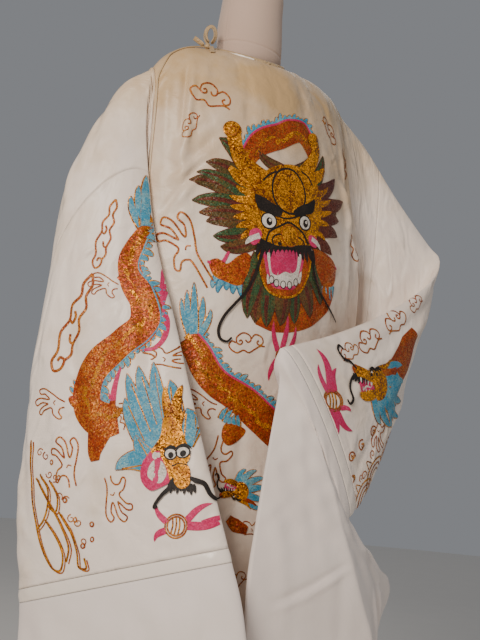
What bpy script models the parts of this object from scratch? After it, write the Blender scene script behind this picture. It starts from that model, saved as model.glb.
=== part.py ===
"""Chinese dragon robe on a limbless dress form.

A stage robe of satin: one front panel that laps over to the wearer's right and ties at the neck, a
back panel, very wide sleeves in two parts with a satin hem band, and thin white water sleeves below
the bands.  The wearer's right sleeve hangs down.  The wearer's left sleeve is bent across the waist,
hollow, as it was dressed.  Metres, +Z up, the front faces -Y, the wearer's left is +X, and the origin
is the middle of the underside of the form's base.

Each cloth piece is one open surface, points on a grid of two parameters, given its wall by Solidify.
The body is a stack of sections with named half widths and depths.  Each sleeve is a flat tube between
its top fold and its bottom seam, so a section is a lens between a point of the fold and one of the
seam.
"""
import bpy
import math
import numpy as np

# ---------------------------------------------------------------- driving sizes
WALL = 0.002             # thickness of every cloth wall
SEAM = 0.0006            # what neighbouring pieces stand apart
HEM_Z = 0.10             # height of the robe's hem
CHEST_Z = 1.28           # section where the shoulder curve ends
UNDERARM_Z = 1.08        # foot of each armhole
SHOULDER_X = 0.212       # half width across the shoulders
SHOULDER_DROP = 0.012    # straight part of the shoulder's fall
RIGHT_SHOULDER_ROUND = 0.052  # rounded part of it, at the tip
LEFT_SHOULDER_ROUND = 0.024
NECK_HALF_WIDTH = 0.072
NECK_DEPTH = 0.070
NECK_Z = 1.489           # height of the neckline at its sides
NECK_TILT = 0.30         # how fast the neckline falls towards the front
NECK_SHARE = 1 / 3       # share of a panel's columns that end on the neckline
SHOULDER_FULLNESS = 0.95  # how square the shoulder curve is
SHOULDER_SOFTNESS = 0.001

AROUND = 24              # points round a sleeve
FRONT_COLUMNS = 24
BACK_COLUMNS = 18
SKIRT_ROWS = 10          # rows of a panel below the underarm

# body sections, from the chest down: height, half width at the wearer's right and left, depth in
# front and behind, and the angles that the right and left armholes take from a quarter turn in
# front, and that both take behind
BODY_SECTIONS = [
    (1.28, 0.218, 0.238, 0.130, 0.108, 8.0, 21.0, 24.0),
    (1.18, 0.220, 0.260, 0.143, 0.120, 7.0, 15.0, 18.0),
    (1.08, 0.222, 0.278, 0.150, 0.130, 0.0, 0.0, 0.0),
    (0.92, 0.222, 0.262, 0.154, 0.138, 0.0, 0.0, 0.0),
    (0.75, 0.226, 0.242, 0.158, 0.148, 0.0, 0.0, 0.0),
    (0.55, 0.232, 0.246, 0.164, 0.160, 0.0, 0.0, 0.0),
    (0.32, 0.234, 0.256, 0.172, 0.174, 0.0, 0.0, 0.0),
    (0.10, 0.238, 0.272, 0.180, 0.188, 0.0, 0.0, 0.0),
]

# soft vertical folds of a body panel: place across it at the top and at the foot of the fold, from
# the wearer's right (0) to the left (1), height of its top and foot, half width, height out
FRONT_FOLDS = [
    (0.86, 0.84, 1.42, 0.70, 0.022, 0.010),
    (0.94, 0.92, 1.40, 0.80, 0.018, 0.012),
    (0.14, 0.17, 1.42, 1.10, 0.026, 0.008),
    (0.24, 0.20, 0.85, 0.00, 0.040, 0.012),
    (0.40, 0.38, 0.65, 0.00, 0.045, 0.011),
    (0.60, 0.62, 0.72, 0.00, 0.045, 0.012),
    (0.79, 0.80, 0.80, 0.00, 0.040, 0.012),
]
BACK_FOLDS = [
    (0.14, 0.15, 1.35, 0.30, 0.035, 0.009),
    (0.31, 0.28, 1.00, 0.00, 0.045, 0.013),
    (0.50, 0.50, 0.90, 0.00, 0.045, 0.012),
    (0.69, 0.72, 1.00, 0.00, 0.045, 0.013),
    (0.86, 0.85, 1.35, 0.30, 0.035, 0.009),
]
FOLD_FADE = 0.16         # height over which a fold rises or dies away

# sleeve sections from armhole to band: top fold x, y, z, bottom seam x, y, z, how far the back layer
# and the front layer stand out from the line between them, and the way the back layer faces, in
# degrees from +X
RIGHT_SLEEVE = [
    (-0.212, 0.000, 1.425, -0.222, 0.000, 1.080, 0.050, 0.018, 105),
    (-0.222, -0.006, 1.392, -0.248, 0.045, 1.066, 0.080, 0.012, 138),
    (-0.226, -0.014, 1.310, -0.275, 0.072, 1.045, 0.088, 0.012, 158),
    (-0.224, -0.040, 1.200, -0.315, 0.090, 0.960, 0.070, 0.016, 180),
    (-0.219, -0.070, 1.100, -0.335, 0.100, 0.860, 0.058, 0.018, 194),
    (-0.203, -0.120, 0.970, -0.343, 0.100, 0.750, 0.050, 0.020, 202),
    (-0.185, -0.185, 0.800, -0.345, 0.095, 0.620, 0.046, 0.024, 206),
    (-0.163, -0.260, 0.612, -0.337, 0.080, 0.500, 0.040, 0.026, 207),
]
LEFT_SLEEVE = [
    (0.212, 0.000, 1.453, 0.278, 0.000, 1.080, 0.050, 0.045, 84),
    (0.293, -0.020, 1.386, 0.300, -0.010, 0.985, 0.050, 0.034, 70),
    (0.350, -0.065, 1.285, 0.327, -0.050, 0.890, 0.034, 0.026, 55),
    (0.412, -0.100, 1.200, 0.330, -0.092, 0.815, 0.008, 0.022, 25),
    (0.423, -0.125, 1.170, 0.302, -0.120, 0.785, 0.005, 0.020, -5),
    (0.390, -0.150, 1.130, 0.254, -0.152, 0.755, 0.008, 0.018, -40),
    (0.330, -0.165, 1.088, 0.202, -0.188, 0.725, 0.022, 0.014, -66),
    (0.220, -0.180, 1.030, 0.162, -0.220, 0.702, 0.034, 0.014, -76),
    (0.080, -0.205, 0.978, 0.132, -0.240, 0.686, 0.034, 0.020, -80),
    (-0.040, -0.230, 0.945, 0.112, -0.250, 0.674, 0.030, 0.028, -80),
]
RIGHT_TOP_FULLNESS = 0.50   # how square the back layer stands at the shoulder; 1 is a plain lens
LEFT_TOP_FULLNESS = 0.80
EASE_ROWS = 1.5             # rows over which its points slide from the armhole's spacing to a lens's
FULLNESS_ROWS = 2.5         # rows of a table over which that eases to a plain lens
RIGHT_SEAM_AT = 2.72     # seam between a sleeve's two parts, in rows of its table
LEFT_SEAM_AT = 1.45
RIGHT_ARMHOLE_GAP = 0.0007
LEFT_ARMHOLE_GAP = 0.0019   # the raised sleeve turns sharply at its underarm
STEP_OUT = 0.003         # a sleeve or left water sleeve leaves its seam straight out by this much
SEAM_ROW = 0.06          # a section this near to each seam keeps the two walls in line
ROW_LENGTH = 0.08        # least length of cloth from one row of a table to the next
BAND_WIDTH = 0.022       # satin band at each sleeve's hem

# wearer's right water sleeve: it hangs straight down from its band
WATER_LENGTH = 0.46
WATER_ROWS = 9
WATER_SPREAD = 0.05      # how much wider it is at its foot
WATER_WAVES = 3          # soft waves round its foot
WATER_WAVE_DEPTH = 0.008

# wearer's left water sleeve, from below the band to its foot: the fold nearest the wearer's right
# x, y, z, the front ridge x, y, z, the hanging corner x, y, z, and how far the layer behind stands
# back from the line between fold and corner
LEFT_WATER = [
    (-0.064, -0.236, 0.875, -0.004, -0.272, 0.800, 0.098, -0.254, 0.612, 0.022),
    (-0.078, -0.240, 0.790, 0.020, -0.284, 0.735, 0.172, -0.218, 0.585, 0.020),
    (-0.090, -0.243, 0.715, 0.044, -0.291, 0.668, 0.250, -0.188, 0.560, 0.016),
    (-0.101, -0.246, 0.640, 0.070, -0.295, 0.600, 0.291, -0.168, 0.540, 0.014),
    (-0.112, -0.250, 0.560, 0.103, -0.295, 0.529, 0.298, -0.160, 0.500, 0.012),
    (-0.110, -0.250, 0.460, 0.138, -0.295, 0.450, 0.250, -0.175, 0.440, 0.016),
    (-0.104, -0.250, 0.330, 0.160, -0.290, 0.330, 0.205, -0.185, 0.330, 0.020),
]
WATER_LEAVES = 0.010     # how far this cloth runs on from the band before it falls
WATER_FALLS = 0.022
LEFT_WATER_ROWS = 11
FRONT_RIDGE_TURN = 1 / 3 # place of the front ridge round the band, in half turns
RIDGE_BULGE = 0.006

# neck binding and the piped edge of the front flap
BINDING_HEIGHT = 0.009
BINDING_LEAN = 0.002
PIPING_RADIUS = 0.0013
LAID_GAP = 0.0008        # what lies on the front panel clears its facets by this
PIPING_POINTS = 30
PIPING_SHARE = 0.014     # how far from the armhole edge the piping runs, as a share of the panel
PIPING_DROP = 0.13       # how far below the shoulder line

# tie at the wearer's right of the neck
KNOT_PLACE = (-0.101, -0.004, 1.4934)
TAIL_SHARES = (0.264, 0.246)         # the long tail lies on the front panel, from the knot down
TAIL_DROPS = (0.085, 0.290)
TAIL_ROWS = 12
KNOT_RADIUS = 0.0062
RIBBON_WIDTH = 0.008
RIBBON_WALL = 0.0016
TIE_AXIS = (0.788, -0.616, 0.0)      # the way the bow spreads
TIE_DEPTH = (0.616, 0.788, 0.0)

# dress form: height, half width, half depth, and how far back the middle lies
TORSO_SECTIONS = [
    (0.800, 0.165, 0.100, 0.000),
    (0.880, 0.170, 0.105, 0.000),
    (0.980, 0.150, 0.095, 0.000),
    (1.080, 0.130, 0.085, 0.000),
    (1.180, 0.150, 0.095, 0.000),
    (1.280, 0.168, 0.104, 0.000),
    (1.360, 0.176, 0.096, 0.000),
    (1.410, 0.176, 0.080, 0.000),
    (1.440, 0.172, 0.064, 0.002),
    (1.456, 0.155, 0.056, 0.004),
    (1.466, 0.120, 0.054, 0.004),
    (1.472, 0.090, 0.054, 0.004),
]
NECK_SECTIONS = [
    (1.4726, 0.0640, 0.0520, 0.002),
    (1.4900, 0.0640, 0.0560, 0.000),
    (1.5200, 0.0640, 0.0590, 0.002),
    (1.5500, 0.0630, 0.0600, 0.004),
    (1.5800, 0.0600, 0.0590, 0.003),
    (1.6100, 0.0580, 0.0570, 0.000),
    (1.6280, 0.0520, 0.0520, -0.002),
    (1.6360, 0.0380, 0.0380, -0.003),
]
FORM_AROUND = 28
POLE_RADIUS = 0.0125
BASE_RADIUS = 0.180
BASE_HEIGHT = 0.016
BASE_EDGE = 0.004
FORM_GAP = 0.0004

SATIN = (0.66, 0.56, 0.49, 1.0)
SATIN_PALE = (0.70, 0.63, 0.58, 1.0)
WATER_WHITE = (0.74, 0.70, 0.69, 1.0)
JERSEY = (0.50, 0.36, 0.29, 1.0)
BASE_PAINT = (0.045, 0.045, 0.048, 1.0)
STEEL = (0.55, 0.55, 0.56, 1.0)


# ---------------------------------------------------------------- curves and sections
def through(rows, place):
    """A smooth curve through the rows of a table (Catmull-Rom); place counts in rows."""
    table = np.asarray(rows, float)
    place = np.atleast_1d(np.asarray(place, float))
    last = len(table) - 1
    i = np.clip(np.floor(place).astype(int), 0, last - 1)
    t = (place - i).reshape((-1,) + (1,) * (table.ndim - 1))
    padded = np.concatenate([[2 * table[0] - table[1]], table, [2 * table[last] - table[last - 1]]])
    before, a, b, after = padded[i], padded[i + 1], padded[i + 2], padded[i + 3]
    return (a + 0.5 * t * (b - before)
            + t ** 2 * (before - 2.5 * a + 2 * b - 0.5 * after)
            + t ** 3 * (-0.5 * before + 1.5 * a - 1.5 * b + 0.5 * after))


def smooth(value):
    """Rise from 0 to 1 with a level start and end."""
    value = np.clip(value, 0.0, 1.0)
    return value * value * (3 - 2 * value)


def unit(vectors):
    """Vectors of length one."""
    return vectors / np.linalg.norm(vectors, axis=-1, keepdims=True)


def body_section(height):
    """Half widths, depths and armhole angle at each height."""
    table = np.array(BODY_SECTIONS)
    place = np.interp(-np.atleast_1d(height), -table[:, 0], np.arange(len(table)))
    return through(table[:, 1:], place)


def fold_height(folds, share, height):
    """How far the folds lift each point, by its place across and its height."""
    lift = np.zeros(np.broadcast(share, height).shape)
    for at_top, at_foot, top, foot, width, depth in folds:
        along = np.clip((top - height) / (top - foot), 0.0, 1.0)
        middle = at_top + (at_foot - at_top) * along
        rise = smooth((top - height) / FOLD_FADE)
        die = smooth((height - foot) / FOLD_FADE) if foot > HEM_Z else 1.0
        lift = lift + depth * rise * die * np.exp(-((share - middle) / width) ** 2)
    return lift


def top_edge(share, way):
    """Neckline and shoulder line of a panel; way is -1 in front and 1 behind."""
    from_middle = share - 0.5
    turn = np.clip(from_middle / NECK_SHARE, -0.5, 0.5) * math.pi
    reach = np.clip((np.abs(from_middle) - NECK_SHARE / 2) / (0.5 - NECK_SHARE / 2), 0.0, 1.0)
    x = NECK_HALF_WIDTH * np.sin(turn)
    x = x + np.sign(from_middle) * reach * (SHOULDER_X - NECK_HALF_WIDTH)
    y = way * NECK_DEPTH * np.cos(turn)
    rounding = np.where(share < 0.5, RIGHT_SHOULDER_ROUND, LEFT_SHOULDER_ROUND)
    z = NECK_Z + NECK_TILT * y - SHOULDER_DROP * reach - rounding * reach ** 4
    return np.stack([x, y, z], -1)


def panel_points(way, share, drop):
    """Points of a body panel, a grid of drop by share.

    share runs across, 0 at the wearer's right and 1 at the left.  drop runs down: 0 to 1 over the
    shoulder, a curve from the top edge to the chest, then 1 to 2 down to the hem.
    """
    share, drop = np.meshgrid(share, drop)
    height = CHEST_Z - np.clip(drop - 1, 0, 1) * (CHEST_Z - HEM_Z)
    rows = body_section(height.ravel()).reshape(height.shape + (7,))
    right, left, front, back, gap_right, gap_left, gap_back = np.moveaxis(rows, -1, 0)
    gap = np.where(share < 0.5, gap_right, gap_left) if way < 0 else gap_back
    turn = (2 * share - 1) * np.radians(90 - np.maximum(gap, 0))
    half = np.where(share < 0.5, right, left)
    depth = front if way < 0 else back
    outward = unit(np.stack([np.sin(turn) / half, way * np.cos(turn) / depth, 0 * turn], -1))
    low = np.stack([half * np.sin(turn), way * depth * np.cos(turn), height], -1)
    top = top_edge(share, way)
    bend = np.stack([(top[..., 0] + low[..., 0]) / 2, SHOULDER_FULLNESS * low[..., 1],
                     top[..., 2] - SHOULDER_SOFTNESS], -1)
    t = np.clip(drop, 0, 1)[..., None]
    points = (1 - t) ** 2 * top + 2 * t * (1 - t) * bend + t ** 2 * low
    folds = FRONT_FOLDS if way < 0 else BACK_FOLDS
    points = points + outward * fold_height(folds, share, points[..., 2])[..., None]
    points[..., 1] += way * SEAM / 2
    return points


def front_points_out(share, drop, rise):
    """Points of the front panel, one for each share, drop and rise: moved out by the rise."""
    step = 0.01
    points = []
    for s, d, out in zip(share, drop, rise):
        grid = panel_points(-1, np.array([s, s + step]), np.array([d, d + step]))
        across, below = grid[0, 1] - grid[0, 0], grid[1, 0] - grid[0, 0]
        points.append(grid[0, 0] + unit(np.cross(below, across)) * out)
    return np.array(points)


UNDERARM_DROP = 1 + (CHEST_Z - UNDERARM_Z) / (CHEST_Z - HEM_Z)
SHOULDER_PER_SHARE = (SHOULDER_X - NECK_HALF_WIDTH) / (0.5 - NECK_SHARE / 2)


def armhole_drops(turn):
    """Where down a panel's edge each point round the armhole lies."""
    return UNDERARM_DROP * (1 - np.cos(turn)) / 2


def panel_drops():
    """Rows of a panel: down the armhole edge, then down the skirt."""
    armhole = armhole_drops(np.linspace(0, math.pi, AROUND // 2 + 1))
    skirt = np.linspace(UNDERARM_DROP, 2, SKIRT_ROWS + 1)
    return np.concatenate([armhole, skirt[1:]])


def armhole_loop(side, turn):
    """The armhole's edge: down the back panel, then up the front panel."""
    share = np.array([0.0 if side < 0 else 1.0])
    behind = panel_points(1, share, armhole_drops(turn))[:, 0]
    in_front = panel_points(-1, share, armhole_drops(turn))[:, 0]
    loop = np.where((turn <= math.pi)[:, None], behind, in_front)
    loop[:, 0] += LEFT_ARMHOLE_GAP if side > 0 else -RIGHT_ARMHOLE_GAP
    return loop


def sleeve_points(rows, side, places, turn, fullness=1.0):
    """Sections of a sleeve, a grid of place by turn; side is -1 at the wearer's right.

    A section is a lens: turn 0 is the top fold, half a turn is the bottom seam, the back layer lies
    between them and the front layer fills the rest.  The first sections ease out of the armhole,
    and fullness squares the back layer there.
    """
    places = np.asarray(places, float)
    at = through(rows, places)
    fold, seam = at[:, 0:3], at[:, 3:6]
    chord = unit(seam - fold)
    facing = np.radians(at[:, 8])
    outward = np.stack([np.cos(facing), np.sin(facing), 0 * facing], -1)
    outward = unit(outward - chord * (outward * chord).sum(-1, keepdims=True))
    loop = armhole_loop(side, turn)
    top, foot = loop[:, 2].max(), loop[:, 2].min()
    settle = smooth(places / EASE_ROWS)[:, None]
    along = (2 * (loop[:, 2] - foot) / (top - foot) - 1) * (1 - settle) + np.cos(turn) * settle
    bow = np.clip(1 - along ** 2, 0, 1)
    power = fullness + (1 - fullness) * smooth(places / FULLNESS_ROWS)[:, None]
    stand = np.where(turn <= math.pi, at[:, 6:7] * bow ** (power / 2), -at[:, 7:8] * bow ** 0.5)
    middle, half = (fold + seam) / 2, (fold - seam) / 2
    points = middle[:, None] + half[:, None] * along[..., None] + outward[:, None] * stand[..., None]
    ease = np.clip(1 - places, 0, 1) ** 2
    if ease.max() > 0:
        first = points[0] if places[0] == 0 else sleeve_points(rows, side, [0.0], turn, fullness)[0]
        points = points + ease[:, None, None] * (loop - first)[None]
    return points


def sleeve_end(rows, side, turn):
    """Last section of a sleeve and the way its cloth runs there."""
    last = len(rows) - 1
    ring, inner = sleeve_points(rows, side, [last, last - SEAM_ROW], turn)
    return ring, unit(ring - inner)


# ---------------------------------------------------------------- objects
def paint(name, colour, roughness=0.5, metallic=0.0):
    """A Principled material."""
    material = bpy.data.materials.new(name)
    material.use_nodes = True
    shader = material.node_tree.nodes["Principled BSDF"]
    shader.inputs["Base Color"].default_value = colour
    shader.inputs["Roughness"].default_value = roughness
    shader.inputs["Metallic"].default_value = metallic
    return material


def add_mesh(name, points, faces, material, collection):
    """An object from points and faces."""
    mesh = bpy.data.meshes.new(name)
    mesh.from_pydata([tuple(p) for p in points], [], faces)
    mesh.update()
    mesh.materials.append(material)
    mesh.shade_smooth()
    item = bpy.data.objects.new(name, mesh)
    collection.objects.link(item)
    return item


def grid_faces(rows, columns, closed, turned):
    """Quads of a grid; closed joins the last column to the first, turned flips them."""
    faces = []
    for r in range(rows - 1):
        for c in range(columns if closed else columns - 1):
            d = (c + 1) % columns
            quad = (r * columns + c, r * columns + d, (r + 1) * columns + d, (r + 1) * columns + c)
            faces.append(quad[::-1] if turned else quad)
    return faces


def cloth(name, points, closed, turned, material, collection, wall=WALL):
    """A cloth piece: a grid surface with its wall set inwards."""
    rows, columns = points.shape[:2]
    faces = grid_faces(rows, columns, closed, turned)
    item = add_mesh(name, points.reshape(-1, 3), faces, material, collection)
    solid = item.modifiers.new("Wall", "SOLIDIFY")
    solid.thickness = wall
    solid.offset = -1.0
    return item


def lofted_solid(name, sections, material, collection):
    """A closed solid through oval sections, flat at both ends."""
    turn = np.linspace(0, 2 * math.pi, FORM_AROUND, endpoint=False)
    table = np.array(sections)
    x = table[:, 1:2] * np.cos(turn)
    y = table[:, 2:3] * np.sin(turn) + table[:, 3:4]
    z = np.broadcast_to(table[:, 0:1], x.shape)
    points = np.stack([x, y, z], -1)
    faces = grid_faces(len(table), FORM_AROUND, True, False)
    top = (len(table) - 1) * FORM_AROUND
    faces.append(tuple(range(FORM_AROUND))[::-1])
    faces.append(tuple(range(top, top + FORM_AROUND)))
    return add_mesh(name, points.reshape(-1, 3), faces, material, collection)


def cylinder(name, radius, low, high, sides, material, collection):
    """An upright cylinder on the origin's axis."""
    bpy.ops.mesh.primitive_cylinder_add(vertices=sides, radius=radius, depth=high - low,
                                        location=(0, 0, (low + high) / 2))
    item = bpy.context.object
    item.name = name
    item.data.name = name
    item.data.materials.append(material)
    for other in list(item.users_collection):
        other.objects.unlink(item)
    collection.objects.link(item)
    return item


# ---------------------------------------------------------------- sub-parts
def make_body(collection, satin):
    """Front and back panels."""
    drops = panel_drops()
    front = panel_points(-1, np.linspace(0, 1, FRONT_COLUMNS + 1), drops)
    cloth("front_panel", front, False, True, satin, collection)
    back = panel_points(1, np.linspace(0, 1, BACK_COLUMNS + 1), drops)
    cloth("back_panel", back, False, False, satin, collection)


def make_sleeve(collection, word, side, rows, seam_at, fullness, counts, satin, pale):
    """Both parts of a sleeve and its band."""
    turn = np.linspace(0, 2 * math.pi, AROUND, endpoint=False)
    last = len(rows) - 1
    start = seam_at + 2.5 * SEAM / ROW_LENGTH
    upper_places = np.append(np.linspace(0, seam_at - SEAM_ROW, counts[0]) ** 1.3
                             / (seam_at - SEAM_ROW) ** 0.3, seam_at)
    upper = sleeve_points(rows, side, upper_places, turn, fullness)
    step_out = upper[:1] + np.array([side * STEP_OUT, 0, 0])
    upper = np.concatenate([upper[:1], step_out, upper[1:]])
    cloth("sleeve_upper_" + word, upper, True, side > 0, satin, collection)
    lower_places = np.linspace(start + SEAM_ROW, last - SEAM_ROW, counts[1])
    lower_places = np.concatenate([[start], lower_places, [last]])
    lower = sleeve_points(rows, side, lower_places, turn, fullness)
    cloth("sleeve_lower_" + word, lower, True, side > 0, satin, collection)
    ring, run = sleeve_end(rows, side, turn)
    band = np.stack([ring + run * SEAM, ring + run * (SEAM + BAND_WIDTH)])
    cloth("sleeve_band_" + word, band, True, side > 0, pale, collection)


def make_right_water(collection, white):
    """The hanging water sleeve: its section keeps the band's lens and falls straight down."""
    turn = np.linspace(0, 2 * math.pi, AROUND, endpoint=False)
    ring, run = sleeve_end(RIGHT_SLEEVE, -1, turn)
    start = ring + run * (2 * SEAM + BAND_WIDTH)
    middle = start.mean(0)
    down = np.linspace(0, 1, WATER_ROWS + 1)[:, None, None]
    fall = smooth(down * 4)
    heading = run * (1 - fall) + np.array([0, 0, -1.0]) * fall
    spread = (start - middle) * np.array([1, 1, 0]) * WATER_SPREAD / 0.2 * smooth(down * 1.5)
    outward = unit((start - middle) * np.array([1, 1, 0]))
    wave = WATER_WAVE_DEPTH * np.sin(2 * WATER_WAVES * turn)[None, :, None] * smooth(down)
    steps = np.diff(down[:, 0, 0], prepend=0)[:, None, None] * WATER_LENGTH
    points = start + np.cumsum(heading * steps, 0) + spread + outward * wave
    cloth("water_sleeve_right", points, True, False, white, collection)


def make_left_water(collection, white):
    """The other water sleeve: from the band it falls on the bias, a flat front with a ridge."""
    turn = np.linspace(0, 2 * math.pi, AROUND, endpoint=False)
    ring, run = sleeve_end(LEFT_SLEEVE, 1, turn)
    start = ring + run * (2 * SEAM + BAND_WIDTH)
    rings = [start + run * STEP_OUT, start + run * WATER_LEAVES - np.array([0, 0, WATER_FALLS])]
    half_turns = turn / math.pi
    for row in LEFT_WATER:
        fold, ridge, corner = np.array(row[0:3]), np.array(row[3:6]), np.array(row[6:9])
        behind = (fold + corner) / 2 + np.array([0, row[9], 0])
        marks = [0, FRONT_RIDGE_TURN, 1, 1.5, 2]
        stops = np.array([fold, ridge, corner, behind, fold])
        points = np.stack([np.interp(half_turns, marks, stops[:, k]) for k in range(3)], -1)
        between = np.minimum(np.abs(half_turns - 0), np.abs(half_turns - FRONT_RIDGE_TURN))
        points[:, 1] -= RIDGE_BULGE * np.sin(np.clip(between * 6, 0, math.pi / 2)) * (half_turns < 1)
        rings.append(points)
    places = np.linspace(0, len(rings) - 1, LEFT_WATER_ROWS + 1)
    points = np.concatenate([start[None], through(rings, places)])
    cloth("water_sleeve_left", points, True, True, white, collection)


def neckline_columns(columns, way):
    """The points of a panel's top edge that lie on the neckline."""
    share = np.linspace(0, 1, columns + 1)
    return top_edge(share[np.abs(share - 0.5) < NECK_SHARE / 2 + 0.001], way)


def make_binding(collection, satin):
    """The neckline's edge binding, a short wall that stands just inside the panels' edge."""
    in_front = neckline_columns(FRONT_COLUMNS, -1)
    behind = neckline_columns(BACK_COLUMNS, 1)[::-1]
    edge = np.concatenate([in_front, behind[1:-1]])
    radius = np.linalg.norm(edge[:, :2], axis=1)
    rings = []
    for rise, lean in ((-WALL, 0.0), (BINDING_HEIGHT / 2, 0.0), (BINDING_HEIGHT, BINDING_LEAN)):
        ring = edge.copy()
        ring[:, :2] *= (1 - (2.3 * SEAM + lean) / radius)[:, None]
        ring[:, 2] += rise
        rings.append(ring)
    cloth("neck_binding", np.array(rings), True, False, satin, collection)


def make_piping(collection, satin):
    """The piped edge of the front flap, laid on the front panel from the tie to the underarm."""
    way = np.linspace(0, 2, PIPING_POINTS)
    share = np.interp(way, [0, 0.8, 1.1, 2], [0.27, 0.07, PIPING_SHARE, PIPING_SHARE])
    drop = np.interp(way, [0, 0.8, 1.1, 2], [PIPING_DROP, PIPING_DROP * 1.4, 0.42, UNDERARM_DROP])
    points = front_points_out(share, drop, np.full(len(share), PIPING_RADIUS + LAID_GAP))
    curve = bpy.data.curves.new("flap_piping", "CURVE")
    curve.dimensions = "3D"
    curve.bevel_depth = PIPING_RADIUS
    curve.bevel_resolution = 1
    curve.use_fill_caps = True
    curve.resolution_u = 1
    spline = curve.splines.new("POLY")
    spline.points.add(len(points) - 1)
    for target, p in zip(spline.points, points):
        target.co = (*p, 1.0)
    item = bpy.data.objects.new("flap_piping", curve)
    curve.materials.append(satin)
    collection.objects.link(item)


def ribbon(name, path, satin, collection):
    """A flat ribbon along a path given in the bow's own plane, its width across that plane."""
    path = np.array(path)
    along, out = np.array(TIE_AXIS), np.array(TIE_DEPTH)
    middle = np.array(KNOT_PLACE) + path[:, 0:1] * along + path[:, 1:2] * np.array([0, 0, 1.0])
    middle = middle + path[:, 2:3] * out
    edges = np.stack([middle - out * RIBBON_WIDTH / 2, middle + out * RIBBON_WIDTH / 2], 1)
    cloth(name, edges, False, False, satin, collection, RIBBON_WALL)


def make_tie(collection, satin):
    """Knot, standing loop and two tails."""
    bpy.ops.mesh.primitive_uv_sphere_add(segments=16, ring_count=10, radius=KNOT_RADIUS,
                                         location=KNOT_PLACE)
    knot = bpy.context.object
    knot.name = "tie_knot"
    knot.data.name = "tie_knot"
    knot.data.materials.append(satin)
    for other in list(knot.users_collection):
        other.objects.unlink(knot)
    collection.objects.link(knot)
    start = KNOT_RADIUS + SEAM
    turn = np.linspace(-0.42 * math.pi, 1.42 * math.pi, 18)
    loop = [(0.004 + 0.0095 * math.cos(a), start + 0.0152 + 0.0160 * math.sin(a), 0.0) for a in turn]
    ribbon("tie_loop", loop, satin, collection)
    short = [(-start - 0.0185 * t, 0.002 + 0.012 * t, 0.0) for t in np.linspace(-0.025, 1, 6)]
    ribbon("tie_tail_short", short, satin, collection)
    drops = np.linspace(*TAIL_DROPS, TAIL_ROWS)
    middle = np.linspace(*TAIL_SHARES, TAIL_ROWS)
    half = RIBBON_WIDTH / 2 / SHOULDER_PER_SHARE
    over_piping = np.exp(-((drops - PIPING_DROP) / 0.05) ** 2)
    rise = RIBBON_WALL + LAID_GAP + over_piping * (2 * PIPING_RADIUS + SEAM)
    sides = [front_points_out(middle + way * half, drops, rise) for way in (-1, 1)]
    cloth("tie_tail_long", np.stack(sides, 1), False, True, satin, collection, RIBBON_WALL)


def make_form(collection, jersey, steel, paint_black):
    """Torso, neck, pole and base."""
    lofted_solid("form_torso", TORSO_SECTIONS, jersey, collection)
    lofted_solid("form_neck", NECK_SECTIONS, jersey, collection)
    cylinder("form_pole", POLE_RADIUS, BASE_HEIGHT + FORM_GAP, TORSO_SECTIONS[0][0] - FORM_GAP, 24,
             steel, collection)
    base = cylinder("form_base", BASE_RADIUS, 0.0, BASE_HEIGHT, 64, paint_black, collection)
    bevel = base.modifiers.new("Edge", "BEVEL")
    bevel.width = BASE_EDGE
    bevel.segments = 2
    bevel.limit_method = "ANGLE"


def main():
    """Build the robe and its form."""
    for item in list(bpy.data.objects):
        bpy.data.objects.remove(item, do_unlink=True)
    collection = bpy.data.collections.new("chinese_dragon_robe")
    bpy.context.scene.collection.children.link(collection)
    satin = paint("robe_satin", SATIN, 0.38)
    pale = paint("band_satin", SATIN_PALE, 0.30)
    white = paint("water_sleeve_cloth", WATER_WHITE, 0.62)
    jersey = paint("form_jersey", JERSEY, 0.85)
    make_body(collection, satin)
    make_sleeve(collection, "right", -1, RIGHT_SLEEVE, RIGHT_SEAM_AT, RIGHT_TOP_FULLNESS, (8, 9),
                satin, pale)
    make_sleeve(collection, "left", 1, LEFT_SLEEVE, LEFT_SEAM_AT, LEFT_TOP_FULLNESS, (7, 15),
                satin, pale)
    make_right_water(collection, white)
    make_left_water(collection, white)
    make_binding(collection, satin)
    make_piping(collection, satin)
    make_tie(collection, satin)
    make_form(collection, jersey, paint("pole_steel", STEEL, 0.3, 1.0),
              paint("base_paint", BASE_PAINT, 0.45))


main()
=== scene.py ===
"""Chinese dragon robe on a limbless dress form: its finishes, fine cloth and embroidery.

Every cloth piece is a function of two parameters, row and column, worked out with numpy on the same
sections as the solid it stands for, with its creases laid in.  The embroidery is drawn in millimetres
on the flat plan of each panel, as ribbons, patches and leaves, and carried onto the cloth.
Metres, +Z up, the front faces -Y, the wearer's left is +X.
"""
import bpy
import logging
import math
from dataclasses import dataclass, field
from enum import Enum
from typing import Any, Sequence
import numpy as np
from mathutils import Matrix


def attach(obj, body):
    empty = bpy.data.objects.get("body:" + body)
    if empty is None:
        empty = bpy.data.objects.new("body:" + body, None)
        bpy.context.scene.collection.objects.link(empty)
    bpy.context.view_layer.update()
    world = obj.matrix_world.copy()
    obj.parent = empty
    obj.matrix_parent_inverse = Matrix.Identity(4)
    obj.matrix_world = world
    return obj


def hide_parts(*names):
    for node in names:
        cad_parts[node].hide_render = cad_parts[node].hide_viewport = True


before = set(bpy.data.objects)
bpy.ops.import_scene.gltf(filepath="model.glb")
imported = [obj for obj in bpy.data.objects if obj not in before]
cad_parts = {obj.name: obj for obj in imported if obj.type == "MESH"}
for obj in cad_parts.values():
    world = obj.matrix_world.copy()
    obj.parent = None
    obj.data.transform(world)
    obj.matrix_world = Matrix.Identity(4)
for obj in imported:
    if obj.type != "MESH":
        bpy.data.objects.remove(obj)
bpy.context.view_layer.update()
LOG = logging.getLogger("dragon_robe")
Array = np.ndarray
Pair = tuple[float, float]
MM = 0.001


# ---- choices
class Way(Enum):
    """Which body panel: the front faces -Y."""
    FRONT = -1
    BACK = 1


class Side(Enum):
    """Which of the wearer's sides."""
    RIGHT = -1
    LEFT = 1


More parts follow.
